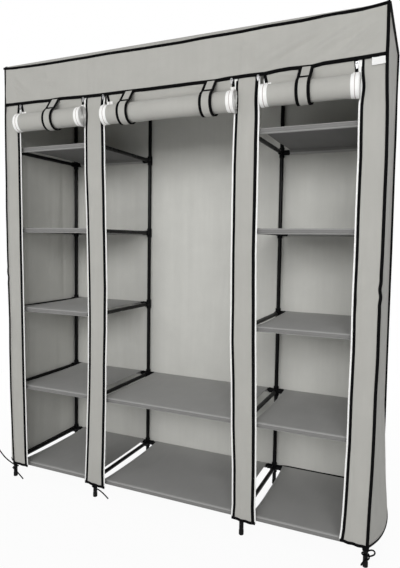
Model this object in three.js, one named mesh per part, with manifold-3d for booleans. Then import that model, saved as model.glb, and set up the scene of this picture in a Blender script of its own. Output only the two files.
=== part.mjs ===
// Portable fabric wardrobe: a frame of steel tubes and moulded connectors in three bays, with
// cloth shelves, under a sewn cloth cover whose three doors are rolled up and strapped.
// Millimetres. +X is to the right, +Y to the back, +Z up, and the floor is at zero.

import * as THREE from 'three';
import { mergeVertices } from 'three/addons/utils/BufferGeometryUtils.js';
import Module from 'manifold-3d';

const wasm = await Module();
wasm.setup();

// Tube frame
const legHeight = 73; // floor to the axis of the lowest tubes
const levelRise = 333.5; // from one level of tubes to the next
const levelCount = 6;
const middleShelfCount = 2; // the middle bay above them is for hanging
const frameDepth = 430; // between the axes of the front and back posts
const sideBay = 420; // between the axes of the posts at each side
const middleBay = 624;
const tubeRadius = 8;
const tubeSides = 8;

// Plastic connectors, which slide over the posts and hold the level tubes
const connectorWall = 2.5; // of the collars and of the stubs
const collarHalfHeight = 20;
const stubReach = 31; // from the axis of the post to the end of the stub
const capRise = 1.2; // the top connectors end this far above their stubs
const slideGap = 0.3; // between a post and its connector
const postTopRise = 6; // a post ends this far above the axis of the top tubes
const railSocketHalfLength = 14;

// Feet
const footWall = 1.6; // round the end of the tube
const footHeight = 18;
const footChamfer = 1.5;

// Shelf cloths, sewn into a sleeve round the front and back tubes
const shelfThickness = 1.2;
const sleeveGap = 0.7;
const shelfEndGap = 4; // from the end of a sleeve to the connector's stub
const shelfSag = 5;
const shelfPinch = 7; // each side edge is drawn in by this much at the middle
const sleeveLap = 21; // the sleeve is sewn to the sheet this far behind the tube's axis
const sleeveLapDrop = 2.9; // the centre of the sewn end lies this far under that of the sheet
const sleeveSteps = 6;
const sheetSteps = 4;

// Cover
const seat = 0.3; // between pieces that touch
const clothThickness = 1.4;
const bindingThickness = 2.6;
const bindingWidth = 7;
const edgeStep = 0.6; // the cloth thickens to its binding over this width
const frontLead = 26; // the inside of the front hangs this far before the front posts
const frontDroop = 9; // the front top edge hangs this far below the top
const headerHeight = 150;
const hemRise = 5; // the hem hangs this far above the axis of the lowest tubes
const outerPillarWidth = 76;
const innerPillarWidth = 78;
const innerPillarShift = 9; // an inner pillar's middle lies this far inside its post
const foldDepth = 4; // how far a loose fold stands out between the posts
const hemFlare = 6;
const flareHeight = 420;
const sideBowShare = 0.8; // of the room between a connector's face and a tube's
const foldStepsPerBay = 4;
const billowStepsPerBay = 2; // of the header
const headerRows = 2;
const pillarRows = 5;
const sideRows = 6;
const bowSteps = 4;

// Zips, half of each sewn along the edge of a pillar
const tapeWidth = 6;
const tapeThickness = 1.2;
const zipGap = 2; // between the zip halves of a pillar and a door
const zipGrooveGap = 0.4; // between a cloth edge and the slider that grips it
const sliderWidth = 10;
const sliderHeight = 14;
const sliderDrop = 6; // from the header's hem to the top of the slider
const frontPlate = 2;
const rearPlate = 1.6;
const bridgeWidth = 1.2;
const bridgeHeight = 6;
const crownWidth = 3;
const crownRadius = 2;
const crownBore = 1.1;
const crownReach = 2.2; // from the face of the slider to the axis of the pull
const crownLift = 2; // from the middle of the slider to the axis of the pull
const pullPin = 0.6;
const pullWidth = 7;
const pullLength = 18;
const pullThickness = 1.2;
const pullWindowWidth = 4.4;
const pullWindowLength = 5.4;
const pullTaper = 1.2;
const pinSides = 8;

// Doors, each rolled up under the header
const doorThickness = 1.5;
const rollHalfDepth = 37;
const rollHalfHeight = 43;
const rollLead = 23.5; // the roll's middle lies this far before the inside of the front
const rollDrop = 74.5; // and this far below the header's hem
const rollTurns = 8;
const rollStepsPerTurn = 12;
const rollCoreShare = 0.14; // of the roll's half sizes
const tailStraight = 26; // the cloth hangs straight for this length below the header

// Straps, each a loop under a roll
const strapWidth = 40;
const strapThickness = 1.5;
const strapGap = 0.5;
const sideStrapX = 495; // from the middle of the wardrobe to the middle of a side strap
const middleStrapX = 163;

// Ribbon ties at the feet, with routes measured from the axis of the post at the floor
const tieRadius = 2;
const tieSides = 8;
const tieStep = 10;
const leftTieRoute = [
  [-84, -27, 132], [-70, -27.5, 118], [-54, -28, 103], [-38, -28, 90], [-22, -27.5, 80], [-9, -26, 72.5],
  [1, -23, 66], [8, -17, 58], [10.8, -9, 50], [11.2, 0, 45], [7.9, 7.9, 42], [0, 11.2, 40],
  [-7.9, 7.9, 38.5], [-11.2, 0, 37.5], [-7.9, -7.9, 37], [0, -11.8, 36.5], [11, -15, 34], [26, -18, 28],
  [40, -19.5, 20], [54, -20.5, 11], [61, -21, 6],
];
const centreTieRoute = [
  [-4, -27.3, 77.4], [-4, -27.3, 73], [-1, -26.5, 69], [5, -24, 64], [10, -18, 57], [12, -8, 50],
  [10.5, 2, 46], [7.2, 8.6, 43.5], [0, 11.2, 42.5], [-7.9, 7.9, 42], [-11.2, 0, 42], [-7.9, -7.9, 42.5],
  [0, -12.5, 43.5], [12, -17, 44], [26, -20, 43], [40, -22, 40], [54, -24, 34.5], [68, -25.5, 27],
  [80, -26.5, 19],
];
const rightTieRoute = [
  [-6, -27.3, 77.4], [-6, -27.3, 73], [-2, -27, 69], [6, -26.5, 68], [14, -24.5, 71], [21, -21, 71.5],
  [27, -17, 67.5], [29, -13.5, 60], [26, -11, 52], [18, -10.8, 46], [9, -11.5, 43.5], [0, -12, 43],
  [-7.9, -7.9, 42.5], [-11.2, 0, 42], [-7.9, 7.9, 41.5], [0, 11.2, 40.5], [7.9, 7.9, 39], [11.4, 0, 36.5],
  [10.5, -8.5, 32.5], [2, -14, 28], [-7, -16.5, 20], [-11, -17, 11],
];

const coverColour = 0xa3a4a0;
const shelfColour = 0x646664;
const steelColour = 0x17181a;
const plasticColour = 0x0c0c0d;
const zipColour = 0xb9bbbd;
const ribbonColour = 0x101011;

const finishes = {
  cover: () => new THREE.MeshStandardMaterial({ color: coverColour, roughness: 0.95, metalness: 0 }),
  shelf: () => new THREE.MeshStandardMaterial({ color: shelfColour, roughness: 0.95, metalness: 0 }),
  steel: () => new THREE.MeshStandardMaterial({ color: steelColour, roughness: 0.3, metalness: 0.5 }),
  plastic: () => new THREE.MeshStandardMaterial({ color: plasticColour, roughness: 0.5, metalness: 0 }),
  zip: () => new THREE.MeshStandardMaterial({ color: zipColour, roughness: 0.35, metalness: 0.9 }),
  ribbon: () => new THREE.MeshStandardMaterial({ color: ribbonColour, roughness: 0.8, metalness: 0 }),
};

const wardrobe = new THREE.Group();

// Sizes and places that follow from the sizes above
const connectorRadius = tubeRadius + slideGap + connectorWall;
const capHeight = connectorRadius + capRise;
const footRadius = tubeRadius + footWall;
const faceShare = Math.cos(Math.PI / tubeSides); // from the axis of a bar to its flat sides
const connectorFace = connectorRadius * faceShare;
const innerPostX = middleBay / 2;
const outerPostX = innerPostX + sideBay;
const postXs = [-outerPostX, -innerPostX, innerPostX, outerPostX];
const columnNames = ['left_end', 'left_middle', 'right_middle', 'right_end'];
const frontPostY = -frameDepth / 2;
const backPostY = frameDepth / 2;
const levelZ = (level) => legHeight + level * levelRise;
const topZ = levelZ(levelCount - 1);

const sideFace = outerPostX + connectorFace + seat; // inside of the side panels
const frontFace = frontPostY - frontLead; // inside of the front, with the cloth towards -Y
const backFace = backPostY + connectorFace + seat; // inside of the back panel
const roofFace = topZ + capHeight + seat; // underside of the top
const coverHalfWidth = sideFace + clothThickness;
const hemZ = legHeight + hemRise;
const headerTop = roofFace - frontDroop - seat;
const headerHem = headerTop - headerHeight;
const pillarTop = headerHem - seat;
const rollY = frontFace - rollLead;
const rollZ = headerHem - rollDrop;

const bays = [
  { name: 'left', from: -outerPostX, to: -innerPostX, shelves: levelCount - 1 },
  { name: 'middle', from: -innerPostX, to: innerPostX, shelves: middleShelfCount },
  { name: 'right', from: innerPostX, to: outerPostX, shelves: levelCount - 1 },
];

// The front pillars, as the places of their two cloth edges
const innerPillarMiddle = innerPostX - innerPillarShift;
const pillars = [
  { name: 'pillar_left_end', from: -coverHalfWidth, to: outerPillarWidth - coverHalfWidth },
  { name: 'pillar_left_middle', from: -innerPillarMiddle - innerPillarWidth / 2,
    to: -innerPillarMiddle + innerPillarWidth / 2 },
  { name: 'pillar_right_middle', from: innerPillarMiddle - innerPillarWidth / 2,
    to: innerPillarMiddle + innerPillarWidth / 2 },
  { name: 'pillar_right_end', from: coverHalfWidth - outerPillarWidth, to: coverHalfWidth },
];
const doorways = bays.map((bay, i) => ({ name: bay.name, from: pillars[i].to, to: pillars[i + 1].from }));

function place(name, geometry, finish, x = 0, y = 0, z = 0) {
  const mesh = new THREE.Mesh(geometry, finishes[finish]());
  mesh.name = name;
  mesh.position.set(x, y, z);
  wardrobe.add(mesh);
}

// Solids that are joined and cut
function toSolid(geometry) {
  const bare = geometry.clone();
  bare.deleteAttribute('normal');
  bare.deleteAttribute('uv');
  const merged = mergeVertices(bare);
  const mesh = { numProp: 3, vertProperties: merged.attributes.position.array,
    triVerts: new Uint32Array(merged.index.array) };
  return new wasm.Manifold(new wasm.Mesh(mesh));
}

function toGeometry(solid) {
  const { vertProperties, triVerts } = solid.getMesh();
  const geometry = new THREE.BufferGeometry();
  geometry.setAttribute('position', new THREE.BufferAttribute(vertProperties, 3));
  geometry.setIndex(new THREE.BufferAttribute(triVerts, 1));
  geometry.computeVertexNormals();
  return geometry;
}

const joined = (solids) => solids.reduce((whole, next) => whole.add(next));
const cut = (solid, tools) => tools.reduce((rest, tool) => rest.subtract(tool), solid);

// A round bar from one place to another along an axis of the frame
function bar(axis, from, to, radius, centre, sides = tubeSides) {
  const geometry = new THREE.CylinderGeometry(radius, radius, to - from, sides);
  geometry.rotateY(Math.PI / sides);
  if (axis === 'x') geometry.rotateZ(-Math.PI / 2);
  if (axis === 'z') geometry.rotateX(Math.PI / 2);
  const middle = (from + to) / 2;
  const [x, y, z] = centre;
  geometry.translate(axis === 'x' ? middle : x, axis === 'y' ? middle : y, axis === 'z' ? middle : z);
  return toSolid(geometry);
}

function block(width, depth, height, x, y, z) {
  const geometry = new THREE.BoxGeometry(width, depth, height);
  geometry.translate(x, y, z);
  return toSolid(geometry);
}

// An outline in the plane of Y and Z, drawn out along X
function alongX(shape, width) {
  const geometry = new THREE.ExtrudeGeometry(shape, { depth: width, bevelEnabled: false });
  const turned = new THREE.Matrix4().makeBasis(
    new THREE.Vector3(0, 1, 0), new THREE.Vector3(0, 0, 1), new THREE.Vector3(1, 0, 0));
  geometry.applyMatrix4(turned);
  geometry.translate(-width / 2, 0, 0);
  return geometry;
}

// The outline of a strip of even thickness whose middle follows the points
function stripShape(points, thickness) {
  const sides = [[], []];
  points.forEach((point, i) => {
    const before = points[Math.max(i - 1, 0)];
    const after = points[Math.min(i + 1, points.length - 1)];
    const along = after.clone().sub(before).normalize();
    const across = new THREE.Vector2(-along.y, along.x).multiplyScalar(thickness / 2);
    sides[0].push(point.clone().add(across));
    sides[1].unshift(point.clone().sub(across));
  });
  return new THREE.Shape([...sides[0], ...sides[1]]);
}

// The angle on an ellipse where a straight run from a point outside it touches it
function touchAngle(point, centre, halfDepth, halfHeight, side) {
  const across = (point.x - centre.x) / halfDepth;
  const up = (point.y - centre.y) / halfHeight;
  return Math.atan2(up, across) + side * Math.acos(1 / Math.hypot(across, up));
}

// Posts: a tube with a foot, and connectors at every level
function postGeometry() {
  const top = topZ + postTopRise;
  const profile = [[0, 0], [footRadius - footChamfer, 0], [footRadius, footChamfer],
    [footRadius, footHeight - footChamfer], [footRadius - footChamfer, footHeight],
    [tubeRadius, footHeight], [tubeRadius, top], [0, top]];
  const geometry = new THREE.LatheGeometry(profile.map(([r, h]) => new THREE.Vector2(r, h)), tubeSides);
  geometry.rotateY(Math.PI / tubeSides);
  geometry.rotateX(Math.PI / 2);
  return toGeometry(toSolid(geometry));
}

function addPosts() {
  const rows = [['front', frontPostY], ['back', backPostY]];
  for (const [row, y] of rows) {
    postXs.forEach((x, i) => place(`post_${row}_${columnNames[i]}`, postGeometry(), 'steel', x, y));
  }
}

// One level of tubes: a line of tubes at the front and back, a tube front to back at each post,
// and a connector with stubs round every crossing, bored for the posts
function levelFrame(xs, isTop) {
  const first = xs[0];
  const last = xs[xs.length - 1];
  const solids = [];
  const bores = [];
  const boreRadius = tubeRadius + slideGap / faceShare;
  const collarTop = isTop ? capHeight : collarHalfHeight;
  const boreTop = isTop ? postTopRise + slideGap : collarHalfHeight + slideGap;
  for (const y of [frontPostY, backPostY]) {
    solids.push(bar('x', first, last, tubeRadius, [0, y, 0]));
    for (const x of xs) {
      solids.push(bar('z', -collarHalfHeight, collarTop, connectorRadius, [x, y, 0]));
      const stubs = [Math.max(x - stubReach, first), Math.min(x + stubReach, last)];
      solids.push(bar('x', ...stubs, connectorRadius, [0, y, 0]));
      bores.push(bar('z', -collarHalfHeight - slideGap, boreTop, boreRadius, [x, y, 0]));
    }
  }
  for (const x of xs) {
    solids.push(bar('y', frontPostY, backPostY, tubeRadius, [x, 0, 0]));
    solids.push(bar('y', frontPostY, frontPostY + stubReach, connectorRadius, [x, 0, 0]));
    solids.push(bar('y', backPostY - stubReach, backPostY, connectorRadius, [x, 0, 0]));
  }
  if (isTop) {
    solids.push(bar('x', -innerPostX, innerPostX, tubeRadius, [0, 0, 0]));
    for (const x of [-innerPostX, innerPostX]) {
      const inward = x < 0 ? [x, x + stubReach] : [x - stubReach, x];
      solids.push(bar('y', -railSocketHalfLength, railSocketHalfLength, connectorRadius, [x, 0, 0]));
      solids.push(bar('x', ...inward, connectorRadius, [0, 0, 0]));
    }
  }
  return toGeometry(cut(joined(solids), bores));
}

function addLevelFrames() {
  for (let level = 0; level < levelCount; level += 1) {
    const isTop = level === levelCount - 1;
    if (isTop || level < middleShelfCount) {
      const name = isTop ? 'top_frame_with_hanging_rail' : `level_frame_${level}`;
      place(name, levelFrame(postXs, isTop), 'plastic', 0, 0, levelZ(level));
    } else {
      const pairs = [['left', postXs.slice(0, 2)], ['right', postXs.slice(2)]];
      for (const [side, xs] of pairs) {
        place(`${side}_shelf_frame_${level}`, levelFrame(xs, false), 'plastic', 0, 0, levelZ(level));
      }
    }
  }
}

// A shelf cloth: one strip that wraps the front tube, sags across the bay and wraps the back tube
function shelfPath() {
  const radius = tubeRadius + sleeveGap + shelfThickness / 2;
  const lap = new THREE.Vector2(sleeveLap, radius - sleeveLapDrop);
  const lapAngle = touchAngle(lap, new THREE.Vector2(), radius, radius, -1);
  const topAngle = Math.PI / 2 - Math.PI * 2;
  const front = [lap];
  for (let i = 0; i <= sleeveSteps; i += 1) {
    const angle = THREE.MathUtils.lerp(lapAngle, topAngle, i / sleeveSteps);
    front.push(new THREE.Vector2(radius * Math.cos(angle), radius * Math.sin(angle)));
  }
  const sheet = [];
  for (let i = 1; i < sheetSteps; i += 1) {
    const share = i / sheetSteps;
    const sag = shelfSag * Math.sin(Math.PI * share);
    sheet.push(new THREE.Vector2(frontPostY + share * frameDepth, radius - sag));
  }
  const back = front.map((point) => new THREE.Vector2(backPostY - point.x, point.y)).reverse();
  return [...front.map((point) => new THREE.Vector2(frontPostY + point.x, point.y)), ...sheet, ...back];
}

function shelfGeometry(width) {
  const geometry = alongX(stripShape(shelfPath(), shelfThickness), width);
  const position = geometry.attributes.position;
  for (let i = 0; i < position.count; i += 1) {
    const share = THREE.MathUtils.clamp((position.getY(i) - frontPostY) / frameDepth, 0, 1);
    const drawnIn = (shelfPinch / (width / 2)) * Math.sin(Math.PI * share);
    position.setX(i, position.getX(i) * (1 - drawnIn));
  }
  geometry.computeVertexNormals();
  return geometry;
}

function addShelves() {
  for (const bay of bays) {
    const width = bay.to - bay.from - (stubReach + shelfEndGap) * 2;
    for (let level = 0; level < bay.shelves; level += 1) {
      const middle = (bay.from + bay.to) / 2;
      place(`${bay.name}_shelf_${level}`, shelfGeometry(width), 'shelf', middle, 0, levelZ(level));
    }
  }
}

// A sheet of cloth. Each band is a place along the sheet and the thickness there, surface gives
// the point of the inner face, and the thickness is laid on in the outward direction.
function clothSheet(columns, rows, surface, outward) {
  const inner = [];
  const outer = [];
  for (const [v, rowThickness] of rows) {
    for (const [u, columnThickness] of columns) {
      const point = surface(u, v);
      const thickness = Math.max(rowThickness, columnThickness);
      inner.push(point);
      outer.push(point.clone().addScaledVector(outward, thickness));
    }
  }
  const across = columns.length;
  const up = rows.length;
  const index = [];
  const quad = (a, b, c, d) => index.push(a, b, c, a, c, d);
  for (let j = 0; j + 1 < up; j += 1) {
    for (let i = 0; i + 1 < across; i += 1) {
      const a = j * across + i;
      const [b, c, d] = [a + 1, a + across + 1, a + across];
      quad(a, d, c, b);
      quad(...[a, b, c, d].map((corner) => corner + inner.length));
    }
  }
  const rim = [];
  for (let i = 0; i < across; i += 1) rim.push(i);
  for (let j = 1; j < up; j += 1) rim.push(j * across + across - 1);
  for (let i = across - 2; i >= 0; i -= 1) rim.push((up - 1) * across + i);
  for (let j = up - 2; j > 0; j -= 1) rim.push(j * across);
  rim.forEach((a, i) => {
    const b = rim[(i + 1) % rim.length];
    quad(a, b, b + inner.length, a + inner.length);
  });
  const geometry = new THREE.BufferGeometry();
  geometry.setFromPoints([...inner, ...outer]);
  geometry.setIndex(index);
  return facingOut(geometry);
}

function facingOut(geometry) {
  const position = geometry.attributes.position;
  const index = geometry.index.array;
  const corners = [new THREE.Vector3(), new THREE.Vector3(), new THREE.Vector3()];
  let volume = 0;
  for (let i = 0; i < index.length; i += 3) {
    corners.forEach((corner, k) => corner.fromBufferAttribute(position, index[i + k]));
    volume += corners[0].dot(corners[1].clone().cross(corners[2]));
  }
  if (volume < 0) index.reverse();
  geometry.computeVertexNormals();
  return geometry;
}

// Bands from one edge of a cloth to the other, with a binding along the edges that have one
function bands(from, to, places, boundStart, boundEnd) {
  const list = [];
  const clear = bindingWidth + edgeStep * 2;
  const inside = places.filter((at) => at > from + clear && at < to - clear);
  if (boundStart) {
    list.push([from, bindingThickness], [from + bindingWidth, bindingThickness]);
    list.push([from + bindingWidth + edgeStep, clothThickness]);
  } else list.push([from, clothThickness]);
  inside.forEach((at) => list.push([at, clothThickness]));
  if (boundEnd) {
    list.push([to - bindingWidth - edgeStep, clothThickness]);
    list.push([to - bindingWidth, bindingThickness], [to, bindingThickness]);
  } else list.push([to, clothThickness]);
  return list;
}

function evenPlaces(from, to, count) {
  return Array.from({ length: count - 1 }, (_, i) => from + ((i + 1) / count) * (to - from));
}

// Places across the wardrobe: at each post, and in even steps between them
function bayPlaces(steps) {
  return bays.flatMap((bay) => [bay.from, ...evenPlaces(bay.from, bay.to, steps)]).concat(outerPostX);
}

// How much of a fold stands out at a place across the wardrobe: none at the posts
function foldShare(x) {
  const bay = bays.find(({ from, to }) => x > from && x < to);
  return bay ? Math.sin((Math.PI * (x - bay.from)) / (bay.to - bay.from)) ** 2 : 0;
}

// Underside of the top, which slopes down to the front edge from above the front connectors
const roofFront = frontFace - clothThickness;
const roofBend = frontPostY - connectorRadius;
function roofLine(y) {
  const share = THREE.MathUtils.clamp((roofBend - y) / (roofBend - roofFront), 0, 1);
  return roofFace - frontDroop * share ** 2;
}

const roofRows = bands(roofFront, backFace + clothThickness, [roofBend, 0], true, true);

// The height of the roof's own facets at a place from front to back
function roofUnderside(y) {
  const next = roofRows.findIndex(([at]) => at >= y);
  const [before, after] = [roofRows[next - 1][0], roofRows[next][0]];
  return THREE.MathUtils.mapLinear(y, before, after, roofLine(before), roofLine(after));
}

function addRoof() {
  const columns = bands(-coverHalfWidth, coverHalfWidth, postXs, true, true);
  const surface = (x, y) => new THREE.Vector3(x, y, roofLine(y));
  place('top_panel', clothSheet(columns, roofRows, surface, new THREE.Vector3(0, 0, 1)), 'cover');
}

function addBack() {
  const columns = bands(-coverHalfWidth, coverHalfWidth, bayPlaces(foldStepsPerBay), false, false);
  const height = roofFace - seat - hemZ;
  const rows = bands(0, height, evenPlaces(0, height, foldStepsPerBay), true, false);
  const surface = (x, z) => new THREE.Vector3(x, foldDepth * foldShare(x), z);
  const geometry = clothSheet(columns, rows, surface, new THREE.Vector3(0, 1, 0));
  place('back_panel', geometry, 'cover', 0, backFace, hemZ);
}

// How far the side cloth stands out: drawn in between the posts, and flared at its hem
function sideOffset(y, z) {
  const half = frameDepth / 2 - connectorRadius;
  if (Math.abs(y) >= half) return 0;
  const share = Math.cos((Math.PI * y) / (half * 2)) ** 2;
  const flare = hemFlare * Math.max(0, 1 - z / flareHeight) ** 2;
  const rise = Math.sin(Math.PI * THREE.MathUtils.clamp(z / (roofFace - hemZ), 0, 1));
  return share * (flare - sideBowShare * (connectorFace - tubeRadius * faceShare) * rise);
}

function addSides() {
  const height = roofFace - hemZ;
  const half = frameDepth / 2 - connectorRadius;
  const slope = roofRows.map(([y]) => y).filter((y) => y > frontFace + seat && y < roofBend);
  const columns = [frontFace + seat, ...slope, roofBend, -half, ...evenPlaces(-half, half, bowSteps), half,
    backFace - seat].map((y) => [y, clothThickness]);
  const rows = bands(0, height, evenPlaces(0, height, sideRows), true, false);
  for (const [name, side] of [['left_side_panel', -1], ['right_side_panel', 1]]) {
    const surface = (y, z) => {
      const top = roofUnderside(y) - seat - hemZ;
      return new THREE.Vector3(side * sideOffset(y, z), y, (z / height) * top);
    };
    const geometry = clothSheet(columns, rows, surface, new THREE.Vector3(side, 0, 0));
    place(name, geometry, 'cover', side * sideFace, 0, hemZ);
  }
}

function addHeader() {
  const columns = bands(-coverHalfWidth, coverHalfWidth, bayPlaces(billowStepsPerBay), true, true);
  const rows = bands(0, headerHeight, evenPlaces(0, headerHeight, headerRows), true, false);
  const surface = (x, z) => {
    const billow = Math.sin((Math.PI * z) / headerHeight) * foldShare(x);
    return new THREE.Vector3(x, -foldDepth * billow, z);
  };
  const geometry = clothSheet(columns, rows, surface, new THREE.Vector3(0, -1, 0));
  place('front_header', geometry, 'cover', 0, frontFace, headerHem);
}

// The front pillars, with a binding along both edges and half a zip beside each doorway
function addPillars() {
  const height = pillarTop - hemZ;
  const rows = bands(0, height, evenPlaces(0, height, pillarRows), true, false);
  pillars.forEach(({ name, from, to }, i) => {
    const width = to - from;
    const columns = bands(0, width, [width / 2], true, true);
    const tape = (places) => places.map((at) => [at, tapeThickness]);
    if (i > 0) columns.unshift(...tape([-tapeWidth, -edgeStep]));
    if (i < pillars.length - 1) columns.push(...tape([width + edgeStep, width + tapeWidth]));
    const surface = (x, z) => {
      const share = THREE.MathUtils.clamp(x / width, 0, 1);
      const lift = Math.sin(Math.PI * share) ** 2 * Math.sin((Math.PI * z) / height);
      return new THREE.Vector3(x, -foldDepth * lift, z);
    };
    const geometry = clothSheet(columns, rows, surface, new THREE.Vector3(0, -1, 0));
    place(name, geometry, 'cover', from, frontFace, hemZ);
  });
}

// A rolled door: one strip wound from the core outwards, that leaves the roll at its back and
// rises to the header's hem
const rollMiddle = new THREE.Vector2(rollY, rollZ);
const tailTop = new THREE.Vector2(frontFace - doorThickness / 2, pillarTop);
const tailBend = new THREE.Vector2(tailTop.x, tailTop.y - tailStraight);
const woundHalfDepth = rollHalfDepth - doorThickness / 2; // to the middle of the cloth
const woundHalfHeight = rollHalfHeight - doorThickness / 2;
const woundEnd = touchAngle(tailBend, rollMiddle, woundHalfDepth, woundHalfHeight, -1);
function doorPath() {
  const points = [];
  const steps = rollTurns * rollStepsPerTurn;
  for (let i = 0; i <= steps; i += 1) {
    const share = THREE.MathUtils.lerp(rollCoreShare, 1, i / steps);
    const angle = woundEnd - (1 - i / steps) * rollTurns * Math.PI * 2;
    const [across, up] = [woundHalfDepth * share, woundHalfHeight * share];
    points.push(new THREE.Vector2(across * Math.cos(angle), up * Math.sin(angle)));
  }
  points.push(tailBend.clone().sub(rollMiddle), tailTop.clone().sub(rollMiddle));
  return points;
}

// The least gap between two parts of a wound strip that are more than half a turn apart
function leastGap(points, thickness) {
  const away = rollStepsPerTurn / 2;
  const nearest = new THREE.Vector2();
  let least = Infinity;
  points.forEach((point, i) => {
    for (let j = i + away; j + 1 < points.length; j += 1) {
      const along = points[j + 1].clone().sub(points[j]);
      const share = point.clone().sub(points[j]).dot(along) / along.lengthSq();
      nearest.copy(points[j]).addScaledVector(along, THREE.MathUtils.clamp(share, 0, 1));
      least = Math.min(least, point.distanceTo(nearest) - thickness);
    }
  });
  return least;
}

function addDoors() {
  const path = doorPath();
  const gap = leastGap(path, doorThickness);
  console.log(`least gap between the turns of a rolled door: ${gap.toFixed(2)} mm`);
  for (const { name, from, to } of doorways) {
    const width = to - from - (tapeWidth + zipGap) * 2;
    const geometry = alongX(stripShape(path, doorThickness), width);
    place(`${name}_door`, geometry, 'cover', (from + to) / 2, rollMiddle.x, rollMiddle.y);
  }
}

// A strap hangs from the header's hem, passes under a roll and rises behind the rolled cloth. It
// bends where the roll's own outline bends, so that the two stay the same distance apart.
function strapPath() {
  const halfDepth = rollHalfDepth + strapGap + strapThickness / 2;
  const halfHeight = rollHalfHeight + strapGap + strapThickness / 2;
  const front = new THREE.Vector2(frontFace - bindingThickness, pillarTop);
  const back = new THREE.Vector2(frontFace + strapThickness, pillarTop);
  const frontAngle = touchAngle(front, rollMiddle, halfDepth, halfHeight, 1);
  const backAngle = touchAngle(back, rollMiddle, halfDepth, halfHeight, -1) + Math.PI * 2;
  const step = (Math.PI * 2) / rollStepsPerTurn;
  const angles = [frontAngle];
  for (let angle = woundEnd; angle < backAngle - step / 2; angle += step) {
    if (angle > frontAngle + step / 2) angles.push(angle);
  }
  angles.push(backAngle);
  const on = (angle) => new THREE.Vector2(halfDepth * Math.cos(angle), halfHeight * Math.sin(angle));
  return [front.sub(rollMiddle), ...angles.map(on), back.sub(rollMiddle)];
}

function addStraps() {
  const straps = [['left_strap', -sideStrapX], ['middle_left_strap', -middleStrapX],
    ['middle_right_strap', middleStrapX], ['right_strap', sideStrapX]];
  for (const [name, x] of straps) {
    const geometry = alongX(stripShape(strapPath(), strapThickness), strapWidth);
    place(name, geometry, 'cover', x, rollMiddle.x, rollMiddle.y);
  }
}

// A zip slider: two plates joined by a bridge between the zip halves, with a bored crown
const grooveDepth = doorThickness + zipGrooveGap * 2;
const sliderFace = -grooveDepth / 2 - frontPlate; // the groove is centred on zero
const crownY = sliderFace - crownReach;
function sliderGeometry() {
  const rearFace = grooveDepth / 2 + rearPlate;
  const body = block(sliderWidth, rearFace - sliderFace, sliderHeight, 0, (rearFace + sliderFace) / 2, 0);
  const openHeight = sliderHeight + slideGap * 2;
  const open = block(sliderWidth + slideGap * 2, grooveDepth, openHeight, 0, 0, 0);
  const bridgeZ = (sliderHeight - bridgeHeight) / 2;
  const bridge = block(bridgeWidth, grooveDepth + slideGap, bridgeHeight, 0, 0, bridgeZ);
  const neck = block(crownWidth, crownReach + slideGap, crownRadius * 2, 0,
    sliderFace + slideGap - (crownReach + slideGap) / 2, crownLift);
  const eye = bar('x', -crownWidth / 2, crownWidth / 2, crownRadius, [0, crownY, crownLift], pinSides);
  const bore = bar('x', -crownWidth, crownWidth, crownBore, [0, crownY, crownLift], pinSides);
  return toGeometry(joined([body.subtract(open), bridge, neck, eye]).subtract(bore));
}

// A pull hangs on the crown: a tapered plate with a window whose top bar is the pin
function pullGeometry() {
  const shape = new THREE.Shape();
  shape.moveTo(-pullWidth / 2, 0);
  shape.lineTo(pullWidth / 2, 0);
  shape.lineTo(pullWidth / 2, -pullWindowLength);
  shape.lineTo(pullWidth / 2 - pullTaper, pullTaper - pullLength);
  shape.lineTo(pullWidth / 2 - pullTaper * 2, -pullLength);
  shape.lineTo(pullTaper * 2 - pullWidth / 2, -pullLength);
  shape.lineTo(pullTaper - pullWidth / 2, pullTaper - pullLength);
  shape.lineTo(-pullWidth / 2, -pullWindowLength);
  const plate = new THREE.ExtrudeGeometry(shape, { depth: pullThickness, bevelEnabled: false });
  plate.translate(0, 0, -pullThickness / 2);
  plate.rotateX(Math.PI / 2);
  const window = block(pullWindowWidth, pullWidth, pullWindowLength * 2, 0, 0, 0);
  const pin = bar('x', -pullWidth / 2, pullWidth / 2, pullPin, [0, 0, 0], pinSides);
  return toGeometry(toSolid(plate).subtract(window).add(pin));
}

function addZips() {
  const y = frontFace - doorThickness / 2;
  const z = headerHem - sliderDrop - sliderHeight / 2;
  for (const { name, from, to } of doorways) {
    const middleOfZip = tapeWidth + zipGap / 2;
    for (const [side, x] of [['left', from + middleOfZip], ['right', to - middleOfZip]]) {
      place(`${name}_door_slider_${side}`, sliderGeometry(), 'zip', x, y, z);
      place(`${name}_door_pull_${side}`, pullGeometry(), 'zip', x, y + crownY, z + crownLift);
    }
  }
}

// The ribbon ties: a tube along a smooth curve through the route
function tieGeometry(route) {
  const points = route.map((point) => new THREE.Vector3(...point));
  const curve = new THREE.CatmullRomCurve3(points, false, 'centripetal');
  const section = new THREE.Shape();
  for (let i = 0; i < tieSides; i += 1) {
    const angle = (i / tieSides) * Math.PI * 2;
    const point = [tieRadius * Math.cos(angle), tieRadius * Math.sin(angle)];
    if (i === 0) section.moveTo(...point);
    else section.lineTo(...point);
  }
  const steps = Math.round(curve.getLength() / tieStep);
  return new THREE.ExtrudeGeometry(section, { steps, extrudePath: curve, bevelEnabled: false });
}

function addTies() {
  place('tie_left_foot', tieGeometry(leftTieRoute), 'ribbon', -outerPostX, frontPostY);
  place('tie_centre_foot', tieGeometry(centreTieRoute), 'ribbon', -innerPostX, frontPostY);
  place('tie_right_foot', tieGeometry(rightTieRoute), 'ribbon', outerPostX, frontPostY);
}

addPosts();
addLevelFrames();
addShelves();
addRoof();
addBack();
addSides();
addHeader();
addPillars();
addDoors();
addStraps();
addZips();

// The wardrobe stands centred on the middle of its footprint, measured without the ties
const footprint = new THREE.Box3().setFromObject(wardrobe);
addTies();
wardrobe.position.y = -(footprint.min.y + footprint.max.y) / 2;

export default wardrobe;
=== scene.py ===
import math

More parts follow.
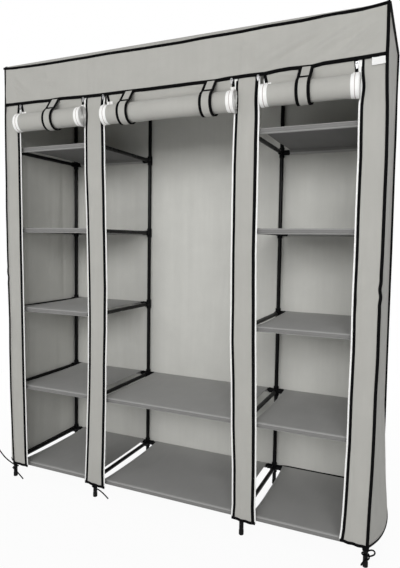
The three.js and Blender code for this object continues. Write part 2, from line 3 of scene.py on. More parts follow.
import bpy
import numpy as np
from mathutils import Matrix, Vector


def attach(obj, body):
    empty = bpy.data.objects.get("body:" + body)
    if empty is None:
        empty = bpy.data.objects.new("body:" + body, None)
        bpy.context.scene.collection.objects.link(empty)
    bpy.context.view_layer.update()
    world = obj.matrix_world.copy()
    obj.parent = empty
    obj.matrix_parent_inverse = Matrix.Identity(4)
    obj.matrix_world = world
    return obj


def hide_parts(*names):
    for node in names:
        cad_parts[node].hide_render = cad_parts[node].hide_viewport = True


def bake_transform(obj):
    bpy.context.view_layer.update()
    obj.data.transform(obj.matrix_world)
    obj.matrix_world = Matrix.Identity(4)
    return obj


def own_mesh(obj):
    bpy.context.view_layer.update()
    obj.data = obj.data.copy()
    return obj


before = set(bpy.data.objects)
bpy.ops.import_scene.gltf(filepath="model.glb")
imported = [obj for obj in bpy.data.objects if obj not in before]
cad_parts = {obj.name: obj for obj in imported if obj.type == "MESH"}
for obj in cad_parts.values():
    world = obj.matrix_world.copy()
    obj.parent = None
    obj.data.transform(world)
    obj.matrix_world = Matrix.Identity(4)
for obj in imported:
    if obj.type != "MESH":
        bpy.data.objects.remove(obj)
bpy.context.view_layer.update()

X, Y, Z = np.eye(3)


def shown(name, data):
    """A new object, linked to the scene."""
    piece = bpy.data.objects.new(name, data)
    bpy.context.scene.collection.objects.link(piece)
    return piece


# ---------------------------------------------------------------- camera, fitted to the frame's joints in the photo
YAW, PITCH, ROLL = -0.42886, -0.06293, 0.01325
CAMERA_PLACE, SENSOR = (0.87708, -1.86907, 1.03586), 36
FOCAL_PX, IMAGE_W, IMAGE_H = 515.68, 400, 568
CENTRE_PX = (191.547, 274.029)
forward = np.array([math.sin(YAW) * math.cos(PITCH), math.cos(YAW) * math.cos(PITCH), math.sin(PITCH)])
level = np.array([math.cos(YAW), -math.sin(YAW), 0.0])
upward = np.cross(level, forward)
right = math.cos(ROLL) * level + math.sin(ROLL) * upward
up = -math.sin(ROLL) * level + math.cos(ROLL) * upward
camera_data = bpy.data.cameras.new("camera")
camera_data.sensor_width, camera_data.lens, camera_data.clip_end = SENSOR, FOCAL_PX / IMAGE_H * SENSOR, 60
camera_data.shift_x = (IMAGE_W / 2 - CENTRE_PX[0]) / IMAGE_H
camera_data.shift_y = (CENTRE_PX[1] - IMAGE_H / 2) / IMAGE_H
camera = shown("camera", camera_data)
turn = Matrix([[right[i], up[i], -forward[i]] for i in range(3)]).to_4x4()
camera.matrix_world = Matrix.Translation(CAMERA_PLACE) @ turn
bpy.context.scene.camera = camera

# ---------------------------------------------------------------- sizes, in metres, as in part.mjs
FRONT, BACK = -0.17942, 0.25058            # axes of the front and back posts
END, MIDDLE = 0.732, 0.312                 # axes of the end and middle posts, left and right
POSTS_X = (-END, -MIDDLE, MIDDLE, END)
LEVELS = [0.073 + 0.3335 * k for k in range(6)]
TUBE = 0.008                               # radius of every tube
COLLAR, COLLAR_HALF, STUB_START = 0.0108, 0.020, 0.0085
FRONT_CLOTH = -0.2074                      # middle of the front cloth
SIDE_CLOTH = 0.7440                        # middle of the side cloth, left and right
BACK_CLOTH = 0.2630
ROOF, SIDE_TOP = 1.7526, 1.7496
HEM, PILLAR_TOP, HEADER_HEM, SEAM = 0.078, 1.5990, 1.5935, 1.7488
BINDING, TAPE = 0.0105, 0.006
ROLL_Y, ROLL_Z, ROLL_HALF_Y, ROLL_HALF_Z = -0.2250, 1.519, 0.0335, 0.0370
DOORS = {"left_door": (-0.65968, -0.350), "middle_door": (-0.256, 0.256), "right_door": (0.350, 0.65968)}
STRAPS = {"left_strap": (-0.495, "left_door_lowers"), "middle_left_strap": (-0.163, "middle_door_lowers"),
          "middle_right_strap": (0.163, "middle_door_lowers"), "right_strap": (0.495, "right_door_lowers")}

# ---------------------------------------------------------------- how this cover hangs
# In millimetres: each table gives places and how far the cloth stands off its plain form there. The front seam hangs
# before its tube and sags between the ends, the header's hem follows it, the pillars' edges wander, mostly towards
# the right, and the sides swell low down.
SEAM_DROP = ((-744, -700, -637, -515, -340, -230, -80, 66, 200, 290, 370, 490, 560, 635, 670, 705, 736, 744),
             (11, 14, 16, 18, 19, 17.5, 20, 20.5, 18.5, 18, 15.5, 15.5, 12.5, 11.5, 11, 8, 4.5, 3))
HEM_DROP = ((-744, -700, -575, -515, -456, -398, -342, -287, -180, -79, 112, 200, 245, 329, 370, 410, 449, 526, 563,
             670, 744),
            (6.5, 7.5, 8.5, 10.5, 8.5, 10.5, 12.5, 13.5, 13.5, 14.5, 14.5, 15.5, 12.5, 11.5, 12.5, 8.5, 6.5, 8.5, 3.5,
             1.5, -1.5))
LOW_SWELL = ((50, 100, 150, 200, 300, 450, 600, 800), (37, 35, 31, 26, 18, 8, 3, 0))
DRIFT_Z = (70, 120, 250, 400, 550, 700, 850, 1000, 1150, 1300, 1450, 1600)
DRIFT = {
    "left_end_right": (28, 24.5, 21, 18, 15, 12, 10, 7, 5, 3, 1, 0),
    "left_middle_left": (6.5, 9.5, 14.5, 19.5, 22.5, 21.5, 19.5, 15.5, 10.5, 4.5, 3.5, 3),
    "left_middle_right": (13, 12, 15.5, 17.5, 17.5, 20.5, 21.5, 17.5, 13.5, 9.5, 6.5, 6),
    "right_middle_left": (24, 26.5, 24.5, 18.5, 15.5, 9.5, 8.5, 6.5, 6.5, 5.5, 8.5, 8),
    "right_middle_right": (25, 22, 22.5, 20.5, 17.5, 13.5, 10.5, 7.5, 7.5, 7.5, 7.5, 7),
    "right_end_left": (-11, -5, 0, 4, 5, 7, 6, 7, 7, 8, 6, 5),
    "left_end_left": (30, 27, 21, 15, 13, 12, 8, 4, 2, 0, 0, 0),
    "right_end_right": (-4, -3, 0, 3, 5, 6, 7.5, 10, 10.7, 10.7, 8, 3)}
# In metres: how far a roll's left and right end lie to the right, and its height over its CAD place; and the straps.
FALL = {"left_door": (0.000, 0.013, -0.011), "middle_door": (0.013, 0.021, -0.015),
        "right_door": (0.0175, 0.0145, -0.008)}
STRAP_SHIFT = {"left_strap": 0.012, "middle_left_strap": 0.020, "middle_right_strap": 0.020, "right_strap": 0.013}


def along(table, place):
    return np.interp(np.asarray(place) * 1000, *table) / 1000


def drift(edge, z):
    """How far an upright edge of the front stands to the right of its plain place."""
    return along((DRIFT_Z, DRIFT[edge]), z)


def lengths(path):
    """How far along a path each of its points lies."""
    return np.r_[0, np.cumsum(np.linalg.norm(np.diff(path, axis=0), axis=1))]


# ---------------------------------------------------------------- materials
class Nodes:
    """Adds nodes to one tree and links them."""

    def __init__(self, tree):
        self.tree = tree

    def put(self, value, socket):
        """Links an output to a socket, or sets the socket's own value; a colour gets its alpha here."""
        if isinstance(value, bpy.types.NodeSocket):
            self.tree.links.new(value, socket)
        else:
            socket.default_value = (*value, 1) if socket.type == "RGBA" else value

    def add(self, kind, inputs=None, **settings):
        node = self.tree.nodes.new("ShaderNode" + kind)
        for key, value in settings.items():
            setattr(node, key, value)
        for key, value in (inputs or {}).items():
            self.put(value, node.inputs[key])
        return node

    def math(self, operation, a, b=0.0):
        return self.add("Math", {0: a, 1: b}, operation=operation).outputs[0]

    def wave(self, value, length):
        return self.math("SINE", self.math("MULTIPLY", value, 2 * math.pi / length))

    def noise(self, vector, scale, detail=2.0, rough=0.5):
        inputs = {"Vector": vector, "Scale": scale, "Detail": detail, "Roughness": rough}
        return self.add("TexNoise", inputs).outputs["Fac"]

    def ramp(self, value, low, high, to_low=0.0, to_high=1.0):
        inputs = {"Value": value, "From Min": low, "From Max": high, "To Min": to_low, "To Max": to_high}
        return self.add("MapRange", inputs).outputs[0]

    def mix(self, share, first, second):
        return self.add("Mix", {0: share, 6: first, 7: second}, data_type="RGBA").outputs[2]


def tint(colour, factor):
    return tuple(min(1.0, c * factor) for c in colour)


class Material(Nodes):
    """A material with one plain Principled shader."""

    def __init__(self, name, colour, roughness, **fixed):
        self.material = bpy.data.materials.new(name)
        self.material.use_nodes = True
        super().__init__(self.material.node_tree)
        self.colour, self.shader = colour, self.tree.nodes["Principled BSDF"]
        for socket, value in {"Base Color": colour, "Roughness": roughness, **fixed}.items():
            self.put(value, self.shader.inputs[socket.replace("_", " ")])

    def weave(self):
        """The place on the cloth, in metres along its two directions."""
        return self.add("Attribute", attribute_name="weave").outputs["Vector"]

    def layers(self, first, *rows):
        """Tints laid over the first: each has a value, its range, its share at both ends, and a tint or colour."""
        shade = tint(self.colour, first)
        for value, low, high, least, most, over in rows:
            over = over if isinstance(over, tuple) else tint(self.colour, over)
            shade = self.mix(self.ramp(value, low, high, least, most), shade, over)
        return shade

    def finish(self, colour, roughness, height, distance, strength=0.6):
        bump = self.add("Bump", {"Strength": strength, "Distance": distance, "Height": height}).outputs[0]
        for socket, value in (("Base Color", colour), ("Roughness", roughness), ("Normal", bump)):
            self.put(value, self.shader.inputs[socket])
        return self.material


DOT_PITCH = 0.0016                         # of the pressed dots in the non-woven cloth


def pressed_cloth(name, colour):
    """Spot-bonded non-woven cloth: a lattice of pressed dots at 45 degrees, loose fibres, and slight mottling."""
    n = Material(name, colour, 0.88, Sheen_Weight=0.12, Sheen_Roughness=0.6, Specular_IOR_Level=0.25)
    place = n.weave()
    turned, stretched, drawn = (n.add("Mapping", {"Vector": place, **how}).outputs[0] for how in (
        {"Rotation": (0, 0, math.radians(45))}, {"Scale": (1, 0.35, 1)}, {"Scale": (1, 0.08, 1)}))
    dots = n.add("TexVoronoi", {"Vector": turned, "Scale": 1 / DOT_PITCH, "Randomness": 0.0},
                 voronoi_dimensions="2D").outputs["Distance"]
    dot = n.ramp(dots, 0.18, 0.42)
    fibres = n.noise(stretched, 1400, 3.0, 0.6)
    shade = n.layers(0.95, (n.noise(place, 9, 4.0, 0.55), 0.3, 0.7, 0.0, 1.0, 1.05),
                     (n.noise(drawn, 60), 0.35, 0.65, 0.0, 0.35, 0.93), (fibres, 0.35, 0.7, 0.0, 0.45, 1.10),
                     (dot, 0.0, 1.0, 0.30, 0.0, 0.82))
    height = n.math("ADD", n.math("MULTIPLY", dot, 0.8), n.math("MULTIPLY", fibres, 0.35))
    return n.finish(shade, n.ramp(dot, 0.0, 1.0, 0.74, 0.93), height, 0.00018)


def binding_cloth(name, colour):
    """Woven binding: a fine twill with a row of stitches near each edge."""
    n = Material(name, colour, 0.80, Specular_IOR_Level=0.025)
    place = n.weave()
    along, across = n.add("SeparateXYZ", {0: place}).outputs[:2]
    twill = n.ramp(n.wave(n.math("ADD", along, across), 0.0009), -1.0, 1.0)
    off = n.math("ABSOLUTE", n.math("SUBTRACT", n.math("ABSOLUTE", across), 0.0021))
    stitch = n.math("MULTIPLY", n.ramp(n.wave(along, 0.0034), -0.2, 0.3), n.ramp(off, 0.0003, 0.0005, 1.0, 0.0))
    worn = n.noise(place, 45, 3.0)
    shade = n.layers(0.75, (twill, 0.0, 1.0, 0.0, 0.6, 1.5), (worn, 0.45, 0.8, 0.0, 0.5, 1.8))
    height = n.math("ADD", n.math("MULTIPLY", twill, 0.4), n.math("MULTIPLY", stitch, 0.9))
    return n.finish(n.mix(stitch, shade, tint(colour, 2.4)), n.ramp(worn, 0.3, 0.7, 0.66, 0.80), height, 0.00016)


def tape_cloth(name, colour, dirt):
    """Woven zip tape: ribs across it, with faint marks from handling."""
    n = Material(name, colour, 0.70, Sheen_Weight=0.10, Sheen_Roughness=0.5, Specular_IOR_Level=0.3)
    place = n.weave()
    split = n.add("SeparateXYZ", {0: place}).outputs
    weave = n.ramp(n.math("MULTIPLY", n.wave(split[0], 0.0008), n.wave(split[1], 0.0011)), -1.0, 1.0)
    marks = n.noise(place, 30, 4.0, 0.6)
    shade = n.layers(1, (weave, 0.0, 1.0, 0.0, 0.5, 0.86), (marks, 0.5, 0.8, 0.0, 0.5, dirt))
    return n.finish(shade, n.ramp(marks, 0.3, 0.7, 0.64, 0.78), weave, 0.00015)


def solid(name, colour, roughness, grain, marks, distance, **fixed):
    """Paint, plastic, rubber or metal: colour and gloss vary a little, with a fine grain and rubbed patches."""
    n = Material(name, colour, roughness, **fixed)
    place = n.add("TexCoord").outputs["Object"]
    fine, broad = n.noise(place, grain, 3.0, 0.6), n.noise(place, marks, 4.0, 0.6)
    shade = n.layers(0.85, (broad, 0.35, 0.7, 0.0, 1.0, 1.25), (fine, 0.6, 0.8, 0.0, 0.4, 1.8))
    rough = n.ramp(broad, 0.35, 0.7, roughness * 0.8, min(1.0, roughness * 1.3))
    return n.finish(shade, rough, fine, distance, 0.4)


COVER = pressed_cloth("cover_cloth", (0.400, 0.395, 0.370))
# Painted light: the cover's inner faces get a lighter shade of the same cloth, standing in for light that shines
# through the thin cover.
INNER_PAINTED_LIGHT = pressed_cloth("cover_inner_painted_light", (0.660, 0.658, 0.622))
SHELF = pressed_cloth("shelf_cloth", (0.370, 0.368, 0.360))
# Painted shade: a darker shade of the shelf cloth, laid on each sleeve where it turns round its tube, standing in for
# the shade there.
SLEEVE_PAINTED_SHADE = pressed_cloth("shelf_sleeve_painted_shade", (0.190, 0.188, 0.184))
# Painted shade: the shelves' undersides are given a much darker shade of the shelf cloth, standing in for the shade
# under each shelf.
UNDERSIDE_PAINTED_SHADE = pressed_cloth("shelf_underside_painted_shade", (0.130, 0.129, 0.127))
BLACK = binding_cloth("black_binding", (0.0032, 0.0032, 0.0035))
WHITE = tape_cloth("white_zip_tape", (0.90, 0.90, 0.885), (0.74, 0.72, 0.68))
TEETH = solid("zip_teeth", (0.86, 0.86, 0.85), 0.38, 2500, 60, 0.00004)
LINE = tape_cloth("tape_seam", (0.40, 0.33, 0.32), (0.30, 0.25, 0.24))
STEEL = solid("black_steel", (0.0035, 0.0035, 0.004), 0.28, 900, 14, 0.00003, Specular_IOR_Level=0.09,
              Coat_Weight=0.03, Coat_Roughness=0.14)
PLASTIC = solid("black_connector", (0.004, 0.004, 0.0045), 0.46, 1600, 40, 0.00008, Specular_IOR_Level=0.06)
RUBBER = solid("foot_rubber", (0.007, 0.007, 0.007), 0.66, 1200, 40, 0.0001, Specular_IOR_Level=0.08)
NICKEL = solid("zip_metal", (0.34, 0.34, 0.345), 0.32, 2200, 120, 0.00003, Metallic=1.0)
RIBBON = solid("ribbon", (0.004, 0.004, 0.0045), 0.74, 1800, 70, 0.00015, Specular_IOR_Level=0.04)
LABEL = tape_cloth("blank_label", (0.80, 0.80, 0.79), (0.72, 0.72, 0.70))


# ---------------------------------------------------------------- shapes
def ripple(u, v, cell_u, cell_v, seed):
    """Smooth noise from -1 to 1, with bumps about one cell across."""
    table = np.random.RandomState(seed).uniform(-1, 1, (64, 64))
    a, b = np.asarray(u) / cell_u + 17.3, np.asarray(v) / cell_v + 11.7
    i, j = np.floor(a).astype(int), np.floor(b).astype(int)
    s, t = a - i, b - j
    s, t = s * s * (3 - 2 * s), t * t * (3 - 2 * t)
    low = table[i % 64, j % 64] * (1 - s) + table[(i + 1) % 64, j % 64] * s
    high = table[i % 64, (j + 1) % 64] * (1 - s) + table[(i + 1) % 64, (j + 1) % 64] * s
    return low * (1 - t) + high * t

def waver(u, cell, seed):
    """Smooth noise along one direction only."""
    return ripple(u, 0 * u, cell, 1.0, seed)


def crease(u, v, start, end, width, height):
    """A soft ridge along a line, which fades at both ends."""
    (a, b), (c, d) = start, end
    length = math.hypot(c - a, d - b)
    along = ((u - a) * (c - a) + (v - b) * (d - b)) / length
    across = ((u - a) * (d - b) - (v - b) * (c - a)) / length
    t = np.clip(along / length, 0, 1)
    return height * np.exp(-(across / width) ** 2) * np.sin(np.pi * t) ** 0.7


def creases(rows):
    """A sum of creases; each row gives, in millimetres, both ends, the width and the height."""
    return lambda u, v: sum(crease(u, v, row[:2], row[2:4], *row[4:]) for row in np.array(rows) / 1000)


SHARP = math.radians(38)                   # edges sharper than this stay sharp


class Build:
    """Collects closed shells and turns them into one mesh object."""

    def __init__(self):
        self.points, self.faces, self.weave, self.tags, self.count = [], [], [], [], 0

    def add(self, points, faces, weave, tag=0):
        points = np.asarray(points, float)
        faces = [list(face) for face in faces]
        fan = [(f[0], f[k], f[k + 1]) for f in faces for k in range(1, len(f) - 1)]
        a, b, c = (points[[t[k] for t in fan]] for k in range(3))
        if np.einsum("ij,ij->i", a, np.cross(b, c)).sum() < 0:
            faces = [face[::-1] for face in faces]
        self.points.append(points)
        self.faces += [[int(i) + self.count for i in face] for face in faces]
        self.weave.append(np.asarray(weave, float).reshape(-1, 2))
        self.tags += list(tag) if hasattr(tag, "__len__") else [tag] * len(faces)
        self.count += len(points)
        return self

    def make(self, name, materials, body="root", slot="cover_cloth", replaces=(), ride=True):
        mesh = bpy.data.meshes.new(name)
        mesh.from_pydata(np.concatenate(self.points).tolist(), [], self.faces)
        weave = np.concatenate(self.weave)
        attribute = mesh.attributes.new("weave", "FLOAT_VECTOR", "POINT")
        attribute.data.foreach_set("vector", np.c_[weave, np.zeros(len(weave))].astype(np.float32).ravel())
        for material in materials:
            mesh.materials.append(material)
        mesh.polygons.foreach_set("material_index", np.array(self.tags, np.int32))
        mesh.shade_smooth()
        mesh.set_sharp_from_angle(angle=SHARP)
        mesh.update()
        piece = shown(name, mesh)
        if ride:
            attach(piece, body)
        if replaces:
            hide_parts(*replaces)
        return piece


def sheet_shell(build, grid, thickness, weave, tags=None, sides=(0, 0)):
    """A closed sheet on both sides of a grid of points; sides gives the material of each of its two faces."""
    n, m = grid.shape[:2]
    normal = np.cross(np.gradient(grid, axis=0), np.gradient(grid, axis=1))
    normal /= np.linalg.norm(normal, axis=2, keepdims=True) + 1e-12
    points = np.concatenate([(grid + normal * thickness / 2).reshape(-1, 3),
                             (grid - normal * thickness / 2).reshape(-1, 3)])
    i, j = np.meshgrid(np.arange(n - 1), np.arange(m - 1), indexing="ij")
    a = (i * m + j).ravel()
    front = np.stack([a, a + 1, a + m + 1, a + m], 1)
    loop = [(0, k) for k in range(m)] + [(k, m - 1) for k in range(1, n)]
    loop += [(n - 1, k) for k in range(m - 2, -1, -1)] + [(k, 0) for k in range(n - 2, 0, -1)]
    ring = [p * m + q for p, q in loop]
    cells = [(min(p, n - 2), min(q, m - 2)) for p, q in loop]
    rim = [(ring[(k + 1) % len(ring)], ring[k], ring[k] + n * m, ring[(k + 1) % len(ring)] + n * m)
           for k in range(len(ring))]
    tag = np.repeat((*sides, 0), (len(front), len(front), len(rim)))
    if tags is not None:
        flat = tags.ravel()
        tag = np.concatenate([flat, flat, [tags[c] for c in cells]]).astype(int)
    faces = np.concatenate([front, front[:, ::-1] + n * m]).tolist() + rim
    return build.add(points, faces, np.concatenate([weave.reshape(-1, 2)] * 2), tag)


def band(build, path, across, width, thickness):
    """A flat strip with rounded edges along a path; across is its width's direction at each point."""
    path = np.asarray(path, float)
    across = np.broadcast_to(np.asarray(across, float), path.shape).copy()
    ahead = np.gradient(path, axis=0)
    ahead /= np.linalg.norm(ahead, axis=1, keepdims=True) + 1e-12
    across -= ahead * np.einsum("ij,ij->i", across, ahead)[:, None]
    across /= np.linalg.norm(across, axis=1, keepdims=True) + 1e-12
    out = np.cross(ahead, across)
    edge = min(thickness * 0.6, width * 0.25)
    w, t = width / 2, thickness / 2
    profile = np.array([(-w, 0), (-w + edge * 0.35, t * 0.75), (-w + edge, t), (0, t * 1.04), (w - edge, t),
                        (w - edge * 0.35, t * 0.75), (w, 0), (w - edge * 0.35, -t * 0.75), (w - edge, -t),
                        (0, -t), (-w + edge, -t), (-w + edge * 0.35, -t * 0.75)])
    k, n = len(profile), len(path)
    points = path[:, None] + across[:, None] * profile[None, :, :1] + out[:, None] * profile[None, :, 1:]
    weave = np.stack([np.repeat(lengths(path), k), np.tile(profile[:, 0], n)], 1)
    faces = [(s * k + c, s * k + (c + 1) % k, (s + 1) * k + (c + 1) % k, (s + 1) * k + c)
             for s in range(n - 1) for c in range(k)]
    faces += [tuple(range(k))[::-1], tuple((n - 1) * k + c for c in range(k))]
    return build.add(points.reshape(-1, 3), faces, weave)


def bound(name, *strips, **how):
    """Black binding: each strip has a path, its width's direction, its width and its thickness."""
    build = Build()
    for strip in strips:
        band(build, *strip)
    return build.make(name, [BLACK], **how)


def lathe(build, profile, origin, axis, sides=24, tag=0, ring=False):
    """Turns (radius, height) pairs round an axis. A ring's profile closes on itself and never meets the axis."""
    axis = np.asarray(axis, float)
    side = np.array([0, 0, 1.0]) if abs(axis[2]) < 0.5 else np.array([1.0, 0, 0])
    a = np.cross(axis, side)
    b = np.cross(axis, a)
    angle = np.arange(sides) * 2 * math.pi / sides
    round_ = np.outer(np.cos(angle), a) + np.outer(np.sin(angle), b)
    rows, weave = [], []
    for r, h in profile:
        rows.append(np.asarray(origin) + axis * h + round_ * r)
        weave.append(np.stack([angle * max(r, 0.004), np.full(sides, h)], 1))
    n = len(profile)
    faces, tags = [], []
    for s in range(n if ring else n - 1):
        for c in range(sides):
            d, e = (c + 1) % sides, (s + 1) % n
            faces.append((s * sides + c, s * sides + d, e * sides + d, e * sides + c))
            tags.append(tag[s] if hasattr(tag, "__len__") else tag)
    if not ring:
        faces += [tuple(range(sides))[::-1], tuple((n - 1) * sides + c for c in range(sides))]
        tags += [tags[0], tags[-1]]
    return build.add(np.concatenate(rows), faces, np.concatenate(weave), tags)


def tube(build, start, end):
    """A round tube with softened ends between two points."""
    start, end = np.asarray(start, float), np.asarray(end, float)
    length, lip = np.linalg.norm(end - start), 0.0008
    profile = [(TUBE - lip, 0), (TUBE, lip), (TUBE, length * 0.5), (TUBE, length - lip), (TUBE - lip, length)]
    return lathe(build, profile, start, (end - start) / length)


def smooth_route(points, steps=5):
    """A smooth line through the points."""
    p = np.asarray(points, float)
    p = np.vstack([2 * p[0] - p[1], p, 2 * p[-1] - p[-2]])
    out = []
    for k in range(1, len(p) - 2):
        for t in np.arange(steps) / steps:
            out.append(0.5 * (2 * p[k] + (p[k + 1] - p[k - 1]) * t
                              + (2 * p[k - 1] - 5 * p[k] + 4 * p[k + 1] - p[k + 2]) * t * t
                              + (3 * p[k] - p[k - 1] - 3 * p[k + 1] + p[k + 2]) * t ** 3))
    return np.array(out + [p[-2]])


# ---------------------------------------------------------------- cords: the ribbon ties at three feet
# Routes as in part.mjs, in millimetres from each post's axis at the floor.
LEFT_TIE = [(-84, -27, 132), (-70, -27.5, 118), (-54, -28, 103), (-38, -28, 90), (-22, -27.5, 80), (-9, -26, 72.5),
            (1, -23, 66), (8, -17, 58), (10.8, -9, 50), (11.2, 0, 45), (7.9, 7.9, 42), (0, 11.2, 40),
            (-7.9, 7.9, 38.5), (-11.2, 0, 37.5), (-7.9, -7.9, 37), (0, -11.8, 36.5), (11, -15, 34), (26, -18, 28),
            (40, -19.5, 20), (54, -20.5, 11), (61, -21, 6)]
CENTRE_TIE = [(-4, -27.3, 77.4), (-4, -27.3, 73), (-1, -26.5, 69), (5, -24, 64), (10, -18, 57), (12, -8, 50),
              (10.5, 2, 46), (7.2, 8.6, 43.5), (0, 11.2, 42.5), (-7.9, 7.9, 42), (-11.2, 0, 42), (-7.9, -7.9, 42.5),
              (0, -12.5, 43.5), (12, -17, 44), (26, -20, 43), (40, -22, 40), (54, -24, 34.5), (68, -25.5, 27),
              (80, -26.5, 19)]
RIGHT_TIE = [(-6, -27.3, 77.4), (-6, -27.3, 73), (-2, -27, 69), (6, -26.5, 68), (14, -24.5, 71), (21, -21, 71.5),
             (27, -17, 67.5), (29, -13.5, 60), (26, -11, 52), (18, -10.8, 46), (9, -11.5, 43.5), (0, -12, 43),
             (-7.9, -7.9, 42.5), (-11.2, 0, 42), (-7.9, 7.9, 41.5), (0, 11.2, 40.5), (7.9, 7.9, 39), (11.4, 0, 36.5),
             (10.5, -8.5, 32.5), (2, -14, 28), (-7, -16.5, 20), (-11, -17, 11)]
TIE_RADIUS = 0.0025
LEG_POINT = 9                              # the point of the left tie beside its leg, where its two ends part


def tie(name, route, post_x, node=None):
    line = smooth_route(np.array(route) / 1000 + (post_x, FRONT, 0))
    data = bpy.data.curves.new(name, "CURVE")
    data.dimensions, data.bevel_depth, data.bevel_resolution, data.use_fill_caps = "3D", TIE_RADIUS, 3, True
    spline = data.splines.new("POLY")
    spline.points.add(len(line) - 1)
    spline.points.foreach_set("co", np.c_[line, np.ones(len(line))].ravel())
    data.materials.append(RIBBON)
    piece = shown(name, data)
    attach(piece, "root")
    if node:
        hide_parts(node)


tie("tie_left_outer_end", LEFT_TIE[LEG_POINT::-1], -END, "tie_left_foot")
tie("tie_left_inner_end", LEFT_TIE[LEG_POINT:], -END)
tie("tie_centre", CENTRE_TIE, -MIDDLE, "tie_centre_foot")
tie("tie_right", RIGHT_TIE, END, "tie_right_foot")

# ---------------------------------------------------------------- posts and level frames
# Profiles of turned pieces: radius and height of each ring.
FOOT = [(0.0078, 0), (0.0085, 0.0010), (0.0087, 0.0025), (0.0087, 0.0155), (0.0084, 0.0172), (0.0081, 0.0180)]
POST = FOOT + [(TUBE, 0.0184)]
for z in LEVELS[:-1]:                      # the joint of two pushed-together tubes shows just over each collar
    POST += [(TUBE, z + 0.0228), (TUBE - 0.0005, z + 0.0232), (TUBE - 0.0005, z + 0.0238), (TUBE, z + 0.0242)]
POST += [(TUBE, 1.7455), (TUBE - 0.001, 1.7465)]
STUB = [(0.0086, 0), (0.0102, 0.0006), (0.0102, 0.0173), (0.0108, 0.0179), (0.0108, 0.0217), (0.0100, 0.0225),
        (0.0079, 0.0225)]
RAIL_SOCKET = [(0.0083, 0), (0.0104, 0.0006), (0.0106, 0.016), (0.0112, 0.0165), (0.0112, 0.021), (0.0084, 0.0216)]
RAIL_SLEEVE = [(0.0082, -0.015), (0.0104, -0.015), (0.0108, -0.0142), (0.0108, 0.0142), (0.0104, 0.015),
               (0.0082, 0.015)]
TUBE_END, RAIL_END = 0.020, 0.012          # from a post's axis to the end of a tube, and of the rail

tags = [1] * (len(FOOT) - 1) + [0] * (len(POST) - len(FOOT))
for row, y in (("front", FRONT), ("back", BACK)):
    for place, x in zip(("left_end", "left_middle", "right_middle", "right_end"), POSTS_X):
        lathe(Build(), POST, (x, y, 0), Z, 32, tags).make(
            f"steel_post_{row}_{place}", [STEEL, RUBBER], slot="steel_tube", replaces=[f"post_{row}_{place}"])


def connector(build, place, ways, low, top):
    """A moulded corner: a collar on the post, and a ribbed stub towards each tube."""
    inner = TUBE + 0.0003
    collar = [(inner, low), (COLLAR - 0.0008, low), (COLLAR, low + 0.0008), (COLLAR, low + 0.003),
              (COLLAR - 0.0004, low + 0.0034), (COLLAR - 0.0004, low + 0.0040), (COLLAR, low + 0.0044),
              (COLLAR, top - 0.0008), (COLLAR - 0.0008, top), (inner, top)]
    lathe(build, collar, place, Z, 28, 1, ring=True)
    for way in ways:
        lathe(build, STUB, np.array(place) + way * STUB_START, way, 24, 1)


def level_frame(name, columns, z, is_top=False):
    build = Build()
    for i, x in enumerate(columns):
        for y, inward in ((FRONT, 1), (BACK, -1)):
            ways = [inward * Y] + [X] * (i + 1 < len(columns)) + [-X] * (i > 0)
            connector(build, (x, y, z), ways, -COLLAR_HALF, 0.0115 if is_top else COLLAR_HALF)
        tube(build, (x, FRONT + TUBE_END, z), (x, BACK - TUBE_END, z))
    for x0, x1 in zip(columns[:-1], columns[1:]):
        for y in (FRONT, BACK):
            tube(build, (x0 + TUBE_END, y, z), (x1 - TUBE_END, y, z))
    if is_top:
        y = (FRONT + BACK) / 2
        tube(build, (-MIDDLE + RAIL_END, y, z), (MIDDLE - RAIL_END, y, z))
        for x, way in ((-MIDDLE, X), (MIDDLE, -X)):
            lathe(build, RAIL_SOCKET, np.array([x, y, z]) + way * STUB_START, way, 24, 1)
            lathe(build, RAIL_SLEEVE, (x, y, z), Y, 24, 1, ring=True)
    return build.make(name + "_tubes", [STEEL, PLASTIC], slot="level_tubes", replaces=[name])


level_frame("level_frame_0", POSTS_X, LEVELS[0])
level_frame("level_frame_1", POSTS_X, LEVELS[1])
for k in (2, 3, 4):
    level_frame(f"left_shelf_frame_{k}", POSTS_X[:2], LEVELS[k])
    level_frame(f"right_shelf_frame_{k}", POSTS_X[2:], LEVELS[k])
level_frame("top_frame_with_hanging_rail", POSTS_X, LEVELS[5], is_top=True)


# ---------------------------------------------------------------- shelves
SLEEVE, LAP, SAG, PINCH = 0.0093, 0.021, 0.005, 0.006


def shelf_line(z):
    """The cloth's line from its front lap, under and round the front tube, over to the back tube and its lap."""
    lap_y, lap_z = LAP, SLEEVE - 0.0016
    reach = math.hypot(lap_y, lap_z)
    leave = math.atan2(lap_z, lap_y) - math.acos(SLEEVE / reach)
    arc = [(SLEEVE * math.cos(a), SLEEVE * math.sin(a)) for a in np.linspace(leave, math.pi / 2 - 2 * math.pi, 22)]
    lap = [(lap_y + (arc[0][0] - lap_y) * t, lap_z + (arc[0][1] - lap_z) * t) for t in (0, 0.33, 0.66)]
    front = np.array([(FRONT + a, z + b) for a, b in lap + arc])
    back = np.array([(BACK - a, z + b) for a, b in lap + arc])[::-1]
    flat = np.linspace(FRONT, BACK, 44)[1:-1]
    return np.vstack([front, np.stack([flat, np.full(len(flat), z + SLEEVE)], 1), back])


